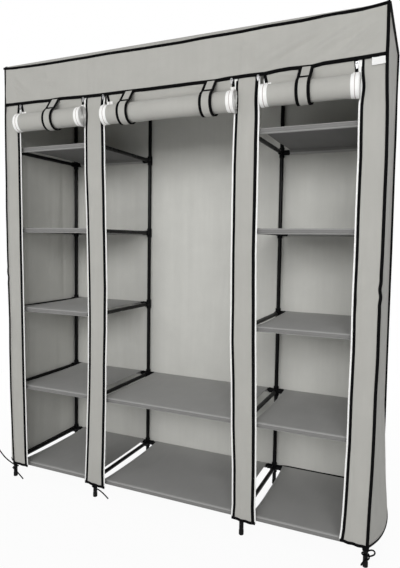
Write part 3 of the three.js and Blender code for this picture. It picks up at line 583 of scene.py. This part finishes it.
def shelf(name, x0, x1, z, seed):
    """A shelf cloth that sags between its sleeves, with a folded hem at each side; its underside and its sleeves about
    the tubes' height are painted darker, as painted shade.
    """
    line, width, edge = shelf_line(z), x1 - x0, np.array([0, 0.004, 0.010])
    columns = np.r_[edge, np.linspace(0.02, width - 0.02, int(width / 0.011)), width - edge[::-1]]
    y, height = (np.repeat(line[:, k, None], len(columns), 1) for k in (0, 1))
    x = x0 + columns[None] + 0 * y
    deep, wide = np.clip((y - FRONT) / (BACK - FRONT), 0, 1), columns[None] / width
    hang = np.sin(math.pi * deep) ** 0.8
    inward = PINCH * np.sin(math.pi * deep) ** 0.6 * (1 - wide)
    height = height - SAG * hang * (0.55 + 0.45 * np.sin(math.pi * wide))
    height += hang * (0.0016 * ripple(x, y, 0.09, 0.12, seed) + 0.0008 * ripple(x, y, 0.03, 0.20, seed + 1))
    seam = np.exp(-((np.abs(y - (FRONT + BACK) / 2) - (BACK - FRONT) / 2 + LAP - 0.003) / 0.0016) ** 2)
    height -= 0.0006 * seam * (height > z)
    gone = lengths(line)
    grid = np.stack([x + inward, y, height], 2)
    # The lower face takes the darker underside colour (painted shade); the upper face takes the shelf cloth.
    build = sheet_shell(Build(), grid, 0.0011, np.stack([x, gone[:, None] + 0 * x], 2), sides=(2, 0))
    # Painted shade: the sleeve's outer face about the tube's height takes the darker sleeve colour.
    sleeve_painted_shade = np.where((line[:-1, 1] < z + 0.0045) & (line[:-1, 1] > z - 0.0065), 1, 0)
    count = (len(line) - 1) * (len(columns) - 1)
    build.tags[count:2 * count] = np.repeat(sleeve_painted_shade, len(columns) - 1).tolist()
    piece = build.make(name + "_cloth", [SHELF, SLEEVE_PAINTED_SHADE, UNDERSIDE_PAINTED_SHADE], slot="shelf_cloth", replaces=[name])
    hem = Build()                          # sewn on the cloth between the sleeves
    rows = line[:, 1] > z + SLEEVE - 1e-4
    for k, inset in ((0, 0.0045), (-1, -0.0045)):
        band(hem, grid[rows, k] + (inset, 0, 0.0009), X, 0.0095, 0.0014)
    trim = hem.make(name + "_hems", [SHELF], slot="shelf_cloth")


SHELF_END = 0.035                          # from a post's axis to the cloth's side
# Each bay's posts, how far the two sides of its lowest cloth are pushed to the right, and its seed.
BAYS = {"left": (-END, -MIDDLE, 0.012, 0.018, 100), "right": (MIDDLE, END, 0, 0, 200),
        "middle": (-MIDDLE, MIDDLE, 0.012, 0, 300)}
for side, k in [(side, k) for k in range(5) for side in ("left", "right")] + [("middle", 0), ("middle", 1)]:
    x0, x1, pushed_0, pushed_1, seed = BAYS[side]
    shelf(f"{side}_shelf_{k}",
          x0 + SHELF_END + pushed_0 * (k == 0), x1 - SHELF_END + pushed_1 * (k == 0), LEVELS[k], seed + k)


# ---------------------------------------------------------------- cover
def front_y(x, z, seed):
    """The front cloth's place: nearly flat, with long upright folds."""
    return (FRONT_CLOTH - 0.0010 - 0.0014 * ripple(x, z, 0.045, 0.55, seed)
            - 0.0007 * ripple(x, z, 0.020, 0.25, seed + 1))


def edge_shift(z, seed):
    """How far a zipped edge of a pillar wavers to the side."""
    return 0.00096 * waver(z, 0.30, seed) + 0.00036 * waver(z, 0.07, seed + 1)


def roll_push(z, most):
    """How far the end of a rolled door pushes the pillar's edge beside it."""
    return most * np.exp(-((z - ROLL_Z + 0.010) / 0.036) ** 2)


def cover_sheet(name, grid, weave, sides):
    return sheet_shell(Build(), grid, 0.0009, np.stack(weave, 2), sides=sides).make(
        name + "_cloth", [COVER, INNER_PAINTED_LIGHT], replaces=[name])


def teeth(build, path, across, normal, tag):
    """One row of small zip teeth along a path, 2 mm apart."""
    path, gone = np.asarray(path, float), lengths(path)
    at = np.arange(0.001, gone[-1], 0.002)
    centres = np.stack([np.interp(at, gone, path[:, k]) for k in range(3)], 1)
    across, normal = np.asarray(across, float), np.asarray(normal, float)
    ahead = np.cross(across, normal)
    corners = np.array([across * a * 0.0009 + ahead * b * 0.0006 + normal * c * 0.0007 * (1 - 0.25 * (a > 0))
                        for a in (-1, 1) for b in (-1, 1) for c in (-1, 1)])
    box = [(0, 1, 3, 2), (4, 6, 7, 5), (0, 4, 5, 1), (2, 3, 7, 6), (0, 2, 6, 4), (1, 5, 7, 3)]
    points = (centres[:, None] + corners[None]).reshape(-1, 3)
    faces = [tuple(8 * k + i for i in face) for k in range(len(centres)) for face in box]
    return build.add(points, faces, np.repeat(np.stack([at, 0 * at], 1), 8, axis=0), tag)


def pillar(name, x0, x1, left_zip, right_zip, hem, seed):
    """A front pillar: cloth, black bound edges and lower hem, and a white zip tape at each opening."""
    share, rise = np.linspace(0, 1, 17)[None], np.linspace(0, 1, 300)[:, None]
    z = (hem[0] * (1 - share) + hem[1] * share) * (1 - rise) + PILLAR_TOP * rise
    ends = []
    for edge, x, zipped, way, salt in (("left", x0, left_zip, 1, 5), ("right", x1, right_zip, -1, 9)):
        place = x + way * (0.0035 if zipped else 0.0012) + drift(f"{name[7:]}_{edge}", z)
        if zipped:
            place = place + edge_shift(z, seed + salt) + way * roll_push(z, 0.0050 if x0 > 0.6 else 0.0022)
        ends.append(place)
    x = ends[0] * (1 - share) + ends[1] * share
    y = front_y(x, z, seed) + 0.0035 * np.clip((z - 1.55) / 0.03, 0, 1)
    y = y - 0.0020 * np.sin(math.pi * share) * (1 + 0.5 * waver(z, 0.35, seed + 3))
    if name == "pillar_right_end":
        y = y + crease(x, z, (0.672, 0.83), (0.735, 0.92), 0.012, 0.0045)
    grid = np.stack([x, y, z], 2)
    cloth = cover_sheet(name, grid, (x, z), (1, 0))
    strips, white = [], Build()
    for zipped, column, way in ((left_zip, 0, -1), (right_zip, -1, 1)):
        if zipped:
            edge, wide = grid[:, column], BINDING * (1.14 if way > 0 else 0.94)
            strips.append((edge - (way * (wide - 0.009) / 2, 0.0004, 0), X, wide, 0.0024))
            tape = edge + (way * (0.0045 + TAPE / 2 - 0.0012), 0.0003, 0)
            band(white, tape, X, TAPE, 0.0010)
            teeth(white, tape + (way * (TAPE / 2 - 0.0004), -0.0004, 0), way * X, -Y, 1)
    low_x = np.linspace(x[0, 0] - 0.0070 * left_zip, x[0, -1] + 0.0070 * right_zip, 30)
    low = np.stack([low_x, np.interp(low_x, x[0], y[0]) - 0.0008,
                    np.interp(low_x, x[0], z[0]) + 0.0008 * np.sin(low_x * 210)], 1)
    pieces = [bound(name + "_binding", *strips, (low, Z, BINDING, 0.0030)),
              white.make(name + "_zip_tape", [WHITE, TEETH])]


def panel(name, origin, across, upward_, outward, size, cells, seed, relief, extra, shape):
    """A sheet of the cover, with soft folds that stand out along its outward side, and an inner face painted lighter:
    painted light that stands in for light shining through the thin cloth.
    """
    (width, height), (columns, rows) = size, cells
    u, v = np.meshgrid(np.linspace(0, 1, columns) * width, np.linspace(0, 1, rows) * height, indexing="ij")
    fade = np.clip(np.minimum(np.minimum(u, width - u), np.minimum(v, height - v)) / 0.04, 0.12, 1)
    out = relief(u, v, seed) * fade + extra(u, v)
    grid = shape(np.asarray(origin) + u[..., None] * across + v[..., None] * upward_ + out[..., None] * outward)
    faces = (0, 1) if np.dot(np.cross(across, upward_), outward) > 0 else (1, 0)
    return cover_sheet(name, grid, (u, v), faces), grid


def long_folds(u, v, seed):
    return (0.0022 * ripple(u, v, 0.075, 0.70, seed) + 0.0012 * ripple(u, v, 0.030, 0.45, seed + 1)
            + 0.0012 * ripple(u, v, 0.20, 0.18, seed + 2))


def header_folds(u, v, seed):
    return (0.0016 * ripple(u, v, 0.13, 0.09, seed) + 0.0008 * ripple(u, v, 0.040, 0.06, seed + 1)
            + 0.0022 * ripple(u + 0.9 * v, v, 0.10, 0.50, seed + 2) * np.clip((u - 0.9) / 0.4, 0, 1))


# Slanting creases near the header's corners, upright ones over the posts, and soft pulls down to the straps.
HEADER_CREASES = [
    (1200, 10, 1460, 140, 14, 8.32), (1330, 5, 1475, 115, 9, 6.4), (1020, 10, 1360, 150, 18, 6.72),
    (1400, 10, 1472, 80, 7, -4.48), (860, 30, 1160, 140, 18, 4.16), (1100, 10, 1300, 110, 10, -3.52),
    (10, 20, 20, 145, 6, 5.44), (20, 130, 140, 20, 11, 7.68), (30, 95, 100, 5, 8, 5.12), (70, 145, 300, 60, 14, 4.8),
    (200, 140, 260, 20, 10, -3.2), (440, 10, 430, 145, 12, 4.8), (470, 10, 490, 120, 9, -2.88),
    (600, 20, 780, 120, 18, 3.52), (1040, 10, 1045, 140, 10, 4.48), (1075, 10, 1070, 120, 8, 3.2)]
for name, (x, _) in STRAPS.items():
    x = 1000 * (x + STRAP_SHIFT[name] + SIDE_CLOTH)
    HEADER_CREASES += [(x - 30, 0, x - 55, 70, 12, 1.4), (x + 30, 0, x + 50, 60, 12, 1.2)]
SIDE_CREASES = [(130, 250, 130, 1450, 14, 3.6), (300, 100, 320, 1200, 20, -3.4), (50, 800, 100, 1500, 15, 2.4),
                (380, 500, 360, 1600, 14, 2.6)]
BACK_CREASES = [(x, 120, x + lean, 1600, 17, height) for x, lean, height in (
    (100, 10, 3.4), (250, -10, -2.0), (360, -20, 2.6), (620, 10, 2.8), (830, 20, 2.2), (1070, -10, 2.8),
    (1200, 10, -2.2), (1320, 15, 3.8))]


def over_tube(y, x):
    """How far the roof lies under its plain height as it comes down over the front tube to the seam."""
    near = 1 - np.clip((y - FRONT_CLOTH) / 0.0160, 0, 1)
    return (ROOF - SEAM + along(SEAM_DROP, x)) * near ** 1.6


def hung_header(grid):
    x, share = grid[..., 0], (grid[..., 2] - HEADER_HEM) / (SEAM - HEADER_HEM)
    grid[..., 2] = (HEADER_HEM - along(HEM_DROP, x)) * (1 - share) + (SEAM - along(SEAM_DROP, x)) * share
    return grid


def roof_sag(u, v):
    """The roof lies on the tubes and sags a little in each bay."""
    bay = np.interp(u - SIDE_CLOTH, POSTS_X, (0, 1, 2, 3))
    deep = np.clip((v + FRONT_CLOTH - FRONT) / (BACK - FRONT), 0, 1)
    sag = np.abs(np.sin(math.pi * bay)) ** 0.8 * np.sin(math.pi * deep) ** 0.8
    return -sag * (0.0022 + 0.0009 * ripple(u, v, 0.13, 0.09, 71))


def hung_top(grid):
    grid[..., 2] -= over_tube(grid[..., 1], grid[..., 0])
    return grid


def hung_side(way):
    """A side follows its wandering front corner, and low down it swells outwards between its corners."""
    edge, reach, power = ("left_end_left", 0.028, 2.5) if way < 0 else ("right_end_right", 0.12, 2.0)

    def shape(grid):
        y, z = grid[..., 1].copy(), grid[..., 2].copy()
        share, rise = (y - FRONT_CLOTH) / SIDE_DEPTH, (z - HEM) / (SIDE_TOP - HEM)
        grid[..., 0] += drift(edge, z) * (1 - np.clip((y - FRONT_CLOTH) / reach, 0, 1)) ** power
        swell = np.sin(math.pi * np.clip(share, 0, 1)) * (1.0 if way > 0 else 0.25)
        grid[..., 0] += way * along(LOW_SWELL, z) * swell
        clear = way * np.maximum(way * grid[..., 0], SIDE_CLOTH - 0.0004)      # outside the posts' collars
        grid[..., 0] = np.where(y > FRONT_CLOTH + 0.018, clear, grid[..., 0])
        grid[..., 2] -= 0.028 * swell * (1 - rise) ** 6 + over_tube(y, way * SIDE_CLOTH) * rise ** 8
        return grid

    return shape


def hung_back(grid):
    rise = (grid[..., 2] - HEM) / (SIDE_TOP - HEM)
    grid[..., 1] = np.maximum(grid[..., 1], BACK_CLOTH - 0.0008)
    grid[..., 2] -= 0.014 * np.clip((0.36 - grid[..., 0]) / 0.10, 0, 1) * (1 - rise) ** 6
    return grid


SIDE_DEPTH, WIDTH = BACK_CLOTH - FRONT_CLOTH, 2 * SIDE_CLOTH
header, header_grid = panel(
    "front_header", (-SIDE_CLOTH, FRONT_CLOTH - 0.0022, HEADER_HEM), X, Z, -Y, (WIDTH, SEAM - HEADER_HEM), (300, 40),
    11, header_folds, creases(HEADER_CREASES), hung_header)
sides = {way: panel(f"{side}_side_panel", (way * SIDE_CLOTH, FRONT_CLOTH, HEM), Y, Z, way * X,
                    (SIDE_DEPTH, SIDE_TOP - HEM), (60, 200), 31 + way, long_folds, creases(SIDE_CREASES),
                    hung_side(way)) for side, way in (("left", -1), ("right", 1))}
back, back_grid = panel("back_panel", (-SIDE_CLOTH, BACK_CLOTH, HEM), X, Z, Y, (WIDTH, SIDE_TOP - HEM), (150, 140),
                        51, long_folds, creases(BACK_CREASES), hung_back)
top, top_grid = panel("top_panel", (-SIDE_CLOTH, FRONT_CLOTH, ROOF), X, Y, Z, (WIDTH, SIDE_DEPTH), (150, 120), 71,
                      lambda u, v, seed: 0 * u, roof_sag, hung_top)

# Black binding on the cover's free edges and sewn corners.
header_binding = bound("header_hem_binding",
                       (header_grid[:, 0] + (0, -0.0008, 0.0040), (0, -0.12, 1), 0.0118, 0.0030))
wavy = 0.0007 * waver(header_grid[:, -1, 0], 0.09, 83)
top_front = header_grid[:, -1] + np.stack([0 * wavy, 0 * wavy - 0.0012, wavy], 1)
top_front[0] += (-0.004, 0.001, 0.0005)
top_front[-1] += (0.0055, 0.001, 0.0025)
top_back = np.stack([top_grid[:, -1, 0], top_grid[:, -1, 1] + 0.0012, 0 * top_grid[:, -1, 2] + ROOF - 0.0015], 1)
strips = [(top_front, (0, -0.50, 1), BINDING, 0.0034), (top_back, (0, 0.50, 1), BINDING, 0.0030)]
for way in (-1, 1):
    path_y = np.linspace(FRONT_CLOTH - 0.003, BACK_CLOTH + 0.002, 70)
    side_top = np.stack([0 * path_y + way * (SIDE_CLOTH + 0.0026), path_y,
                         ROOF - 0.001 - over_tube(path_y, way * SIDE_CLOTH)], 1)
    strips.append((side_top, (way, 0, 0.62), BINDING, 0.0032))
top_binding = bound("top_edge_binding", *strips)
for side, way in (("left", -1), ("right", 1)):
    cloth, grid = sides[way]
    z = np.linspace(HEM - 0.002, SEAM - along(SEAM_DROP, way * SIDE_CLOTH), 260)
    wave = 0.0010 * waver(z, 0.12, 91 + way) + 0.0020 * np.exp(-((z - 0.885) / 0.035) ** 2) * np.sin(z * 110)
    front = np.stack([way * (SIDE_CLOTH - 0.0012) + drift(f"{side}_end_{side}", z) + wave,
                      0 * z + FRONT_CLOTH - 0.0022, z], 1)
    z = np.linspace(HEM - 0.002, ROOF - 0.002, 200)
    rear = np.stack([way * (SIDE_CLOTH + 0.0030) + 0.001 * waver(z, 0.15, 95 + way), 0 * z + BACK_CLOTH + 0.0010, z], 1)
    trim = bound(f"{side}_side_binding", (front, (1, 0.40 * way, 0), BINDING, 0.0030),
                 (rear, (1, 0.45 * way, 0), BINDING, 0.0030),
                 (grid[:, 0] + (way * 0.0006, 0, 0.003), (0.35 * way, 0, 1), BINDING, 0.0030))
back_binding = bound("back_hem_binding", (back_grid[:, 0] + (0, 0.0004, 0.003), Z, 0.007, 0.0024))

pillar("pillar_left_end", -SIDE_CLOTH, -0.66768, False, True, (0.075, 0.074), 411)
pillar("pillar_left_middle", -0.342, -0.264, True, True, (0.069, 0.062), 421)
pillar("pillar_right_middle", 0.264, 0.342, True, True, (0.071, 0.066), 431)
pillar("pillar_right_end", 0.66768, SIDE_CLOTH, True, False, (0.084, 0.080), 441)

# The sewn-in label at the header's right end, left blank.
label_x, label_z = np.meshgrid(np.linspace(0.7030, 0.7425, 12), np.linspace(0, 1, 10), indexing="ij")
label_drop = HEADER_HEM - 0.0005 - label_z * 0.0240 + (label_x - 0.703) * 0.05 * label_z
label_grid = np.stack([label_x, -0.2106 - 0.0010 * label_z + 0.0006 * np.sin(label_x * 160), label_drop], 2)
label = sheet_shell(Build(), label_grid, 0.0006, np.stack([label_x, label_z * 0.025], 2)).make("blank_label", [LABEL])

# ---------------------------------------------------------------- doors
TURNS, TURN_STEPS, WOUND_END, CORE = 8, 40, math.radians(21.36), 0.14
WEB_TOP, WEB_LOW, WEB_Y = HEADER_HEM, 1.5560, -0.20617
SEAM_IN, SEAM_OUT, RING = 0.0115, 0.0135, 0.025    # from a door's side: the seam of its zip tape, and the tape's end


def spiral(centre_z):
    """The wound door's line in (y, z), from its core to the straight tail under the header."""
    angle = np.linspace(0, TURNS * 2 * math.pi, TURNS * TURN_STEPS + 1)
    size = CORE + (1 - CORE) * angle / angle[-1]
    turned = WOUND_END - (angle[-1] - angle)
    wound = np.stack([ROLL_Y + ROLL_HALF_Y * size * np.cos(turned),
                      centre_z + ROLL_HALF_Z * size * np.sin(turned)], 1)
    end, aim = wound[-1], np.array([WEB_Y, WEB_LOW])
    lead = wound[-1] - wound[-2]
    lead = lead / np.linalg.norm(lead) * np.linalg.norm(aim - end) * 0.45
    t = np.linspace(0, 1, 12)[1:, None]
    tail = ((1 - t) ** 3 * end + 3 * (1 - t) ** 2 * t * (end + lead) + 3 * (1 - t) * t * t * (aim - (0, 0.010))
            + t ** 3 * aim)
    return np.vstack([wound, tail]), np.r_[size, np.full(len(tail), 1.0)], len(wound)


def door(name, x0, x1, seed):
    """A rolled door: its wound strip, the flat web from the roll up to the header, and the web's bound sides."""
    shift_0, shift_1, fall_z = FALL[name]
    x0, x1, centre_z = x0 + shift_0, x1 + shift_1, ROLL_Z + fall_z
    width, edge = x1 - x0, np.array([0, 0.004, 0.008, SEAM_IN, SEAM_OUT, 0.017, 0.021, RING])
    line, size, wound = spiral(centre_z)
    columns = np.r_[edge, np.linspace(0.031, width - 0.031, int(width / 0.012)), width - edge[::-1]]
    u = x0 + columns[None] + 0 * line[:, :1]
    k = np.arange(len(line))[:, None]
    turn = k / TURN_STEPS
    near = np.minimum(columns, width - columns)[None]
    flare = 0.0026 * np.exp(-(near / 0.019) ** 2)
    grow = 0.0012 * ripple(u, turn, 0.07, 0.8, seed) + 0.0007 * ripple(u, turn, 0.022, 0.5, seed + 1)
    away = line - (ROLL_Y, centre_z)
    away = away / (np.linalg.norm(away, axis=1, keepdims=True) + 1e-9)
    push = (flare + grow * 0.7) * (0.25 + 0.75 * size[:, None]) * np.where(k < wound, 1.0, 0.15)
    jitter = 0.0018 * waver(turn + 0 * u, 0.55, seed + 2) * (k < wound)
    grid = np.stack([u + jitter * np.exp(-(near / 0.03) ** 2), line[:, :1] + away[:, :1] * push,
                     line[:, 1:] + away[:, 1:] * push], 2)
    gone = lengths(line)
    middle = (columns[:-1] + columns[1:]) / 2
    side = np.minimum(middle, width - middle)
    kind = np.where(side < SEAM_IN, 1, np.where(side < SEAM_OUT, 2, np.where(side < RING, 1, 0)))
    roll = sheet_shell(Build(), grid, 0.0011, np.stack([u, gone[:, None] + 0 * u], 2),
                       np.tile(kind, (len(line) - 1, 1))).make(
        name + "_roll", [COVER, WHITE, LINE], body=name, replaces=[name])
    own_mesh(roll)   # behind the tapes

    rows = np.linspace(WEB_LOW, WEB_TOP, 24)
    wx = x0 + columns[None] + 0 * rows[:, None]
    wz = rows[:, None] + 0 * wx
    fall = (WEB_TOP - rows)[:, None] / (WEB_TOP - WEB_LOW)
    wy = WEB_Y + 0 * wx + 0.0006 * ripple(wx, wz, 0.04, 0.02, seed + 3) * np.sin(math.pi * fall)
    for strap, (strap_x, joint) in STRAPS.items():
        if joint == name + "_lowers":      # the strap draws the cloth forward in slanting folds
            off = wx - strap_x - STRAP_SHIFT[strap]
            for lean, reach in ((-0.055, 0.016), (0.050, 0.018), (-0.11, 0.020)):
                wy = wy - 0.0030 * np.exp(-((off - lean * (1.1 - fall)) / reach) ** 2) * np.sin(math.pi * fall)
    kind = np.where((middle < 0.004) | (middle > width - SEAM_OUT), 1, 0)
    web = sheet_shell(Build(), np.stack([wx, wy, wz], 2), 0.0011, np.stack([wx, wz], 2),
                      np.tile(kind, (len(rows) - 1, 1))).make(name + "_web", [COVER, WHITE], ride=False)
    strips = [(np.stack([start_x + (end_x - start_x) * fall[:, 0], 0 * rows + WEB_Y - 0.0018, rows], 1), X, BINDING,
               0.0022) for start_x, end_x in ((x0 + 0.001, x0 + 0.010), (x1 - 0.0180, x1 - 0.0140))]
    edges = bound(name + "_side_binding", *strips, ride=False)
    for piece in (web, edges):
        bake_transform(piece)


for seed, (name, (x0, x1)) in enumerate(DOORS.items()):
    door(name, x0, x1, 500 + 10 * seed)


def strap_line(x, centre_z):
    """From the header's hem straight to the roll's upper front, round it, and up its back."""
    a, b = ROLL_HALF_Y + 0.0052, ROLL_HALF_Z + 0.0052
    angle = np.radians(np.linspace(116, 372, 60))
    loop = np.stack([ROLL_Y + a * np.cos(angle), centre_z + b * np.sin(angle)], 1)
    start = np.array([FRONT_CLOTH - 0.0050, HEADER_HEM - along(HEM_DROP, x) + 0.004])
    down = start + (loop[0] - start) * np.linspace(0, 1, 12)[:-1, None]
    finish = np.array([WEB_Y + 0.0045, HEADER_HEM - 0.002])
    rise = loop[-1] + (finish - loop[-1]) * np.linspace(0, 1, 10)[1:, None]
    return np.vstack([down, loop, rise]), len(down)


for name, (x, joint) in STRAPS.items():
    x = x + STRAP_SHIFT[name]
    line, turn_at = strap_line(x, ROLL_Z + FALL[joint[:-7]][2])
    lean = 0.004 * np.sin(np.linspace(0, math.pi, len(line)))
    gone = lengths(line)
    xx = x + np.r_[-0.021, -0.015, np.linspace(-0.010, 0.010, 5), 0.015, 0.021][None] - lean[:, None] * 0.3
    grid = np.stack([xx, line[:, :1] + 0 * xx, line[:, 1:] + 0 * xx], 2)
    cloth = sheet_shell(Build(), grid, 0.0011, np.stack([xx, gone[:, None] + 0 * xx], 2)).make(
        name + "_cloth", [COVER], replaces=[name])
    bar = np.stack([np.linspace(x - 0.020, x + 0.020, 12), np.full(12, line[turn_at, 0] - 0.0010),
                    np.full(12, line[turn_at, 1] + 0.0012)], 1)
    edges = bound(name + "_binding", *((grid[:, column] + (inset, 0, 0), X, 0.0108, 0.0026)
                                       for column, inset in ((0, 0.0026), (-1, -0.0026))),
                  (bar, (0, 0.61, 0.79), 0.0090, 0.0026))
    for piece in (cloth, edges):
        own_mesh(piece)

# ---------------------------------------------------------------- zip sliders and pulls keep their CAD shape
for node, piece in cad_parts.items():
    if "slider" in node or "pull" in node:
        piece.data.materials.clear()
        piece.data.materials.append(NICKEL)


# ---------------------------------------------------------------- floor, background and light
AMBIENT = 0.31
FLOOR_RADIUS, FLOOR_SIDES = 9, 96


def white_for_camera(n, lit, white, output, share=None):
    """Plain white for the camera, reflections and things seen through, and the lit shader for light itself."""
    path = n.add("LightPath").outputs
    seen = n.math("MAXIMUM", path["Is Camera Ray"], path["Is Glossy Ray"])
    seen = n.math("MAXIMUM", seen, path["Is Transmission Ray"])
    if share is not None:
        seen = n.math("MULTIPLY", seen, share)
    mixed = n.add("MixShader", {0: seen, 1: lit.outputs[0], 2: white.outputs[0]})
    n.add(output, {0: mixed.outputs[0]})


world = bpy.data.worlds.new("studio")
bpy.context.scene.world = world
world.use_nodes = True
world.node_tree.nodes.clear()
n = Nodes(world.node_tree)
white_for_camera(n, n.add("Background", {0: (1, 1, 1), 1: AMBIENT}), n.add("Background", {0: (1, 1, 1), 1: 1.0}),
                 "OutputWorld")

floor_material = bpy.data.materials.new("pale_floor")
floor_material.use_nodes = True
floor_material.node_tree.nodes.clear()
n = Nodes(floor_material.node_tree)
distance = n.add("VectorMath", {0: n.add("TexCoord").outputs["Object"]}, operation="LENGTH").outputs["Value"]
white_for_camera(n, n.add("BsdfDiffuse", {0: (0.80, 0.80, 0.80)}), n.add("Emission"), "OutputMaterial",
                 n.ramp(distance, 0.9, 2.4, 0.95, 1.0))
floor_mesh = bpy.data.meshes.new("floor")
around = np.linspace(0, 2 * math.pi, FLOOR_SIDES + 1)[:-1]
floor_mesh.from_pydata([(FLOOR_RADIUS * math.cos(a), FLOOR_RADIUS * math.sin(a), 0) for a in around], [],
                       [tuple(range(FLOOR_SIDES))])
floor_mesh.materials.append(floor_material)
shown("floor", floor_mesh)


def lamp(name, place, aim, size, power):
    data = bpy.data.lights.new(name, "AREA")
    data.shape, data.size, data.size_y, data.energy = "RECTANGLE", size[0], size[1], power
    away = Vector(place) - Vector(aim)
    shown(name, data).matrix_world = Matrix.Translation(place) @ away.to_track_quat("Z", "Y").to_matrix().to_4x4()


lamp("front_left", (-2.0, -5.3, 2.3), (0, 0, 0.9), (2.0, 2.0), 22)
lamp("front_centre", (0.4, -5.3, 2.2), (0, 0, 0.9), (1.6, 1.6), 80)
lamp("front_right", (2.2, -5.0, 2.5), (0, 0, 0.9), (2.4, 2.4), 102)
lamp("right_side", (4.4, -0.9, 1.7), (0.7, 0, 0.9), (1.6, 1.6), 2)
lamp("left_side", (-4.4, -0.9, 1.7), (-0.7, 0, 0.9), (1.6, 1.6), 30)
lamp("back", (0.6, 4.6, 2.4), (0, 0.2, 0.9), (2.4, 1.8), 100)

bpy.context.scene.view_settings.view_transform = "Standard"
